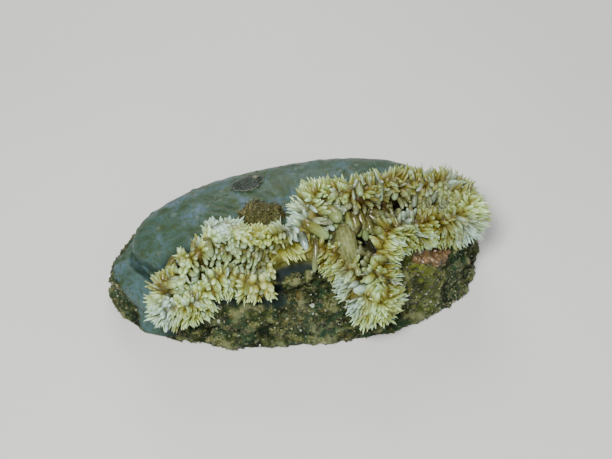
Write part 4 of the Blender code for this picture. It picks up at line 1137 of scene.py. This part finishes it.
# Encrusting patch: a salmon-pink lumpy growth in the groove under the right lobe.  It is one hard
# crust of many small knobs, fused to each other and sunk in the flesh.
PATCH_AT, PATCH_SIZE, PATCH_CORE, PATCH_VOXEL = (30.6, -10.0, 12.8), (4.6, 3.0), (4.8, 3.2, 2.6), 0.22
KNOBS_TRIED, KNOB_RADII = 70, (0.6, 1.15)
knob_rng = np.random.default_rng(23)
knobs = []
for _ in range(KNOBS_TRIED):
    u, v = knob_rng.uniform(-1, 1, 2)
    if u * u + v * v < 1:
        x, y = PATCH_AT[0] + PATCH_SIZE[0] * u, PATCH_AT[1] + PATCH_SIZE[1] * v
        z = float(body_height(x, y)) * 0.5 + 7.2 + 1.1 * (1 - u * u - v * v)
        knobs.append((x, y, z, knob_rng.uniform(*KNOB_RADII)))
bpy.ops.object.select_all(action="DESELECT")
for *middle, radius in knobs:
    bpy.ops.mesh.primitive_ico_sphere_add(subdivisions=2, radius=radius * MM,
                                          location=[c * MM for c in middle])
bpy.ops.mesh.primitive_uv_sphere_add(radius=MM, location=[c * MM for c in PATCH_AT], scale=PATCH_CORE)
growth = bpy.context.object
for made in list(bpy.context.scene.objects):
    if made.name.startswith("Icosphere"):
        made.select_set(True)
bpy.ops.object.join()
bpy.ops.object.transform_apply(location=True, rotation=True, scale=True)
growth.name = growth.data.name = "pink_crust"
fuse(growth, PATCH_VOXEL)
growth_spots = read(growth.data) / MM
growth_normals = read(growth.data, "vertex_normals", "vector")
growth_relief = 0.16 * rough_noise(growth_spots, 1.1, 4)
place(growth.data, growth_spots + growth_normals * growth_relief[:, None])
paint(growth.data, hollow=-growth_relief)
pink = Finish("pink_growth", Coat_Weight=0.5, Coat_Roughness=0.12)
pink_tone = pink.layered(
    pink.ramp(pink.cloud(1.5, 4.0, 0.65), [
        (0.30, (0.040, 0.026, 0.006)), (0.46, (0.12, 0.070, 0.018)), (0.60, (0.23, 0.125, 0.048)),
        (0.75, (0.32, 0.24, 0.125))]),
    # Painted shade: the hollows between the knobs are painted darker.
    (pink.attribute("hollow").rise(-0.02, 0.10) * 0.7, (0.030, 0.018, 0.006)),
    (pink.cloud(0.5, 2.0).rise(0.62, 0.7) * 0.6, (0.55, 0.48, 0.36)))
growth.data.materials.clear()
growth.data.materials.append(pink.wear(Base_Color=pink_tone, Roughness=0.55 + pink.cloud(0.8) * 0.2,
                                       Normal=pink.bump(pink.cloud(0.3, 3.0), 0.06)))
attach(growth, "root")
bpy.ops.object.select_all(action="DESELECT")


# Weed: a felted tuft of short brown-green weed clogged with silt, rooted on the collar behind
# the neck.  Silty mound, curved strands standing in it, and sand grains caught between them.
WEED_AT, WEED_SIZE, WEED_TURN = (-8.0, 3.6), (5.2, 3.2, 2.2), math.radians(-5)
WEED_STRANDS, STRAND_LENGTHS, STRAND_RADII = 900, (0.4, 1.3), (0.07, 0.13)
WEED_GRAINS, WEED_GRAIN_RADIUS, WEED_GRAIN_SPREAD, WEED_GRAIN_LIMITS = 260, 0.17, 0.35, (0.08, 0.4)
weed_foot = float(body_height(*WEED_AT)) - 0.2
bpy.ops.mesh.primitive_uv_sphere_add(segments=56, ring_count=32, radius=MM)
mound = bpy.context.object
mound.name = mound.data.name = "weed_mound"
turned = np.array(Matrix.Rotation(WEED_TURN, 3, "Z"))
mound_spots = (read(mound.data) / MM) * WEED_SIZE @ turned.T + (*WEED_AT, weed_foot + 0.4)
mound_normals = (mound_spots - (*WEED_AT, weed_foot - 1)) / np.array(WEED_SIZE) ** 2
mound_normals /= np.linalg.norm(mound_normals, axis=1)[:, None]
mound_relief = 0.6 * rough_noise(mound_spots, 1.6, 4) + 1.0 * rough_noise(mound_spots, 3.8, 1)
mound_spots += mound_normals * mound_relief[:, None]
place(mound.data, mound_spots)
mound.data.shade_smooth()
silty = Finish("silty_weed")
silty_tone = silty.ramp(silty.cloud(0.8, 4.0, 0.7), [
    (0.30, (0.012, 0.012, 0.003)), (0.47, (0.052, 0.054, 0.010)), (0.62, (0.125, 0.125, 0.034)),
    (0.78, (0.25, 0.26, 0.10))])
mound.data.materials.append(silty.wear(Base_Color=silty_tone, Roughness=0.8 + silty.cloud(0.5) * 0.1,
                                       Normal=silty.bump(silty.cloud(0.3, 4.0, 0.7), 0.12)))
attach(mound, "root")
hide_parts("stuck_weed")

weed_rng = np.random.default_rng(41)
upper = np.flatnonzero(mound_spots[:, 2] > weed_foot + 0.1)
clumps = smoothed_step(rough_noise(mound_spots[upper], 1.5, 2), -0.25, 0.35) + 0.15
stems = weed_rng.choice(upper, WEED_STRANDS, p=clumps / clumps.sum())
stem_roots = mound_spots[stems]
stem_lean = soft_noises(stem_roots, 1.6, (17, 0, 0)) * 1.5
stem_ways = unit(0.5 * mound_normals[stems] + stem_lean + weed_rng.normal(0, 0.4, (WEED_STRANDS, 3)))
taller = 1 + 0.8 * smoothed_step(rough_noise(stem_roots, 2.6, 2), 0, 0.6)
stem_length = weed_rng.uniform(*STRAND_LENGTHS, WEED_STRANDS) * taller
strands = stood(slim_points, stem_roots - stem_ways * 0.3, stem_ways, stem_length,
                slim_profile * weed_rng.uniform(*STRAND_RADII, WEED_STRANDS)[:, None],
                weed_rng.normal(0, 0.45, WEED_STRANDS) * stem_length, np.zeros(WEED_STRANDS), 42)
strands[:, :, 2] = np.maximum(strands[:, :, 2], body_height(strands[:, :, 0], strands[:, :, 1]) - 0.1)
weed = copied("weed_strands", strands, slim_faces, slim_layout,
              {"who": np.repeat(weed_rng.random(WEED_STRANDS), len(heights)),
               "along": np.tile(heights, WEED_STRANDS)})
algae = Finish("algae", Subsurface_Weight=0.1, Subsurface_Scale=0.0004)
algae_tone = algae.layered(
    algae.ramp(algae.attribute("who"), [
        (0.0, (0.022, 0.020, 0.004)), (0.35, (0.080, 0.072, 0.013)), (0.6, (0.105, 0.135, 0.022)),
        (0.8, (0.20, 0.15, 0.045)), (1.0, (0.36, 0.40, 0.17))]),
    ((1 - algae.attribute("along")) * 0.6, (0.015, 0.013, 0.004)))
weed.data.materials.append(algae.wear(Base_Color=algae_tone, Roughness=0.55 + algae.cloud(0.6) * 0.15))
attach(weed, "root")

caught = weed_rng.choice(upper, WEED_GRAINS)
sizes = np.exp(weed_rng.normal(math.log(WEED_GRAIN_RADIUS), WEED_GRAIN_SPREAD, WEED_GRAINS))
sizes = sizes.clip(*WEED_GRAIN_LIMITS)
shapes = scattered(mound_spots[caught], mound_normals[caught], sizes, 6, 0.8)
silt_grains = copied("weed_grit", shapes, grain_faces, grain_layout,
                     {"who": np.repeat(weed_rng.random(WEED_GRAINS), corners)})
silt_grains.data.shade_flat()
silt_grains.data.materials.append(sand.material)
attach(silt_grains, "root")


# Shell chip: a dark worn piece of mussel shell lying on the collar's back.  A curved plate with
# growth rings and a broken edge.
CHIP_AT, CHIP_SIZE, CHIP_TURN, CHIP_THICKNESS = (-9.5, 14.4), (4.2, 2.7), math.radians(15), 0.45
HINGE_AT, RING_HEIGHT, RING_GAP = (2.6, 0.6), 0.07, 0.62
KNOB_AT, KNOB_SIZE, KNOB_HEIGHT = (2.3, 0.5), (0.9, 0.8), 0.55
bpy.ops.mesh.primitive_grid_add(x_subdivisions=72, y_subdivisions=48, size=2)
chip = bpy.context.object
chip.name = chip.data.name = "shell_chip"
flat = read(chip.data)[:, :2]
angle = np.arctan2(flat[:, 1], flat[:, 0])
reach = np.maximum(np.abs(flat[:, 0]), np.abs(flat[:, 1]))
ragged = (1 + 0.07 * np.sin(3 * angle) + 0.05 * np.cos(5 * angle + 1) + 0.03 * np.sin(11 * angle)
          + 0.02 * np.sin(23 * angle))
ragged = np.minimum(ragged, 0.93 / np.maximum(np.cos(angle - 2.4), 0.6))
u, v = CHIP_SIZE[0] * reach * ragged * np.cos(angle), CHIP_SIZE[1] * reach * ragged * np.sin(angle)
x = CHIP_AT[0] + u * math.cos(CHIP_TURN) - v * math.sin(CHIP_TURN)
y = CHIP_AT[1] + u * math.sin(CHIP_TURN) + v * math.cos(CHIP_TURN)
from_hinge = np.hypot(u - HINGE_AT[0], v - HINGE_AT[1])
rings_of_growth = RING_HEIGHT * np.sin(from_hinge * 2 * np.pi / RING_GAP + 0.6 * np.sin(angle * 4))
chip_bump = 0.14 * rough_noise(np.column_stack([x, y, 0 * x]), 1.3, 3)
knob = KNOB_HEIGHT * np.exp(-oval(u, v, KNOB_AT, KNOB_SIZE))
z = body_height(x, y) + 0.55 + 0.55 * (1 - reach**2) + rings_of_growth + chip_bump + knob
place(chip.data, np.column_stack([x, y, z]))
paint(chip.data, growth=rings_of_growth / RING_HEIGHT, knob=knob, rim=reach)
solid = chip.modifiers.new("thickness", "SOLIDIFY")
solid.thickness, solid.offset = CHIP_THICKNESS * MM, -1
bpy.ops.object.modifier_apply(modifier="thickness")
chip.data.shade_smooth()
shell = Finish("worn_shell", Coat_Weight=0.08, Coat_Roughness=0.35)
shell_tone = shell.layered(
    shell.ramp(shell.cloud(1.1, 4.0, 0.65), [
        (0.30, (0.002, 0.006, 0.002)), (0.50, (0.006, 0.016, 0.007)), (0.66, (0.018, 0.040, 0.020)),
        (0.78, (0.08, 0.13, 0.07))]),
    (shell.attribute("growth").rise(0.2, 0.9) * 0.3, (0.022, 0.042, 0.024)),
    (shell.attribute("knob").rise(0.15, 0.5) * 0.75, (0.21, 0.22, 0.13)),
    (shell.attribute("rim").rise(0.9, 1.0) * 0.6, (0.16, 0.18, 0.13)))
chip.data.materials.append(shell.wear(Base_Color=shell_tone, Roughness=0.42 + shell.cloud(0.9) * 0.25,
                                      Normal=shell.bump(shell.cloud(0.35, 3.0), 0.05)))
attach(chip, "root")
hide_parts("stuck_shell")
bpy.ops.object.select_all(action="DESELECT")
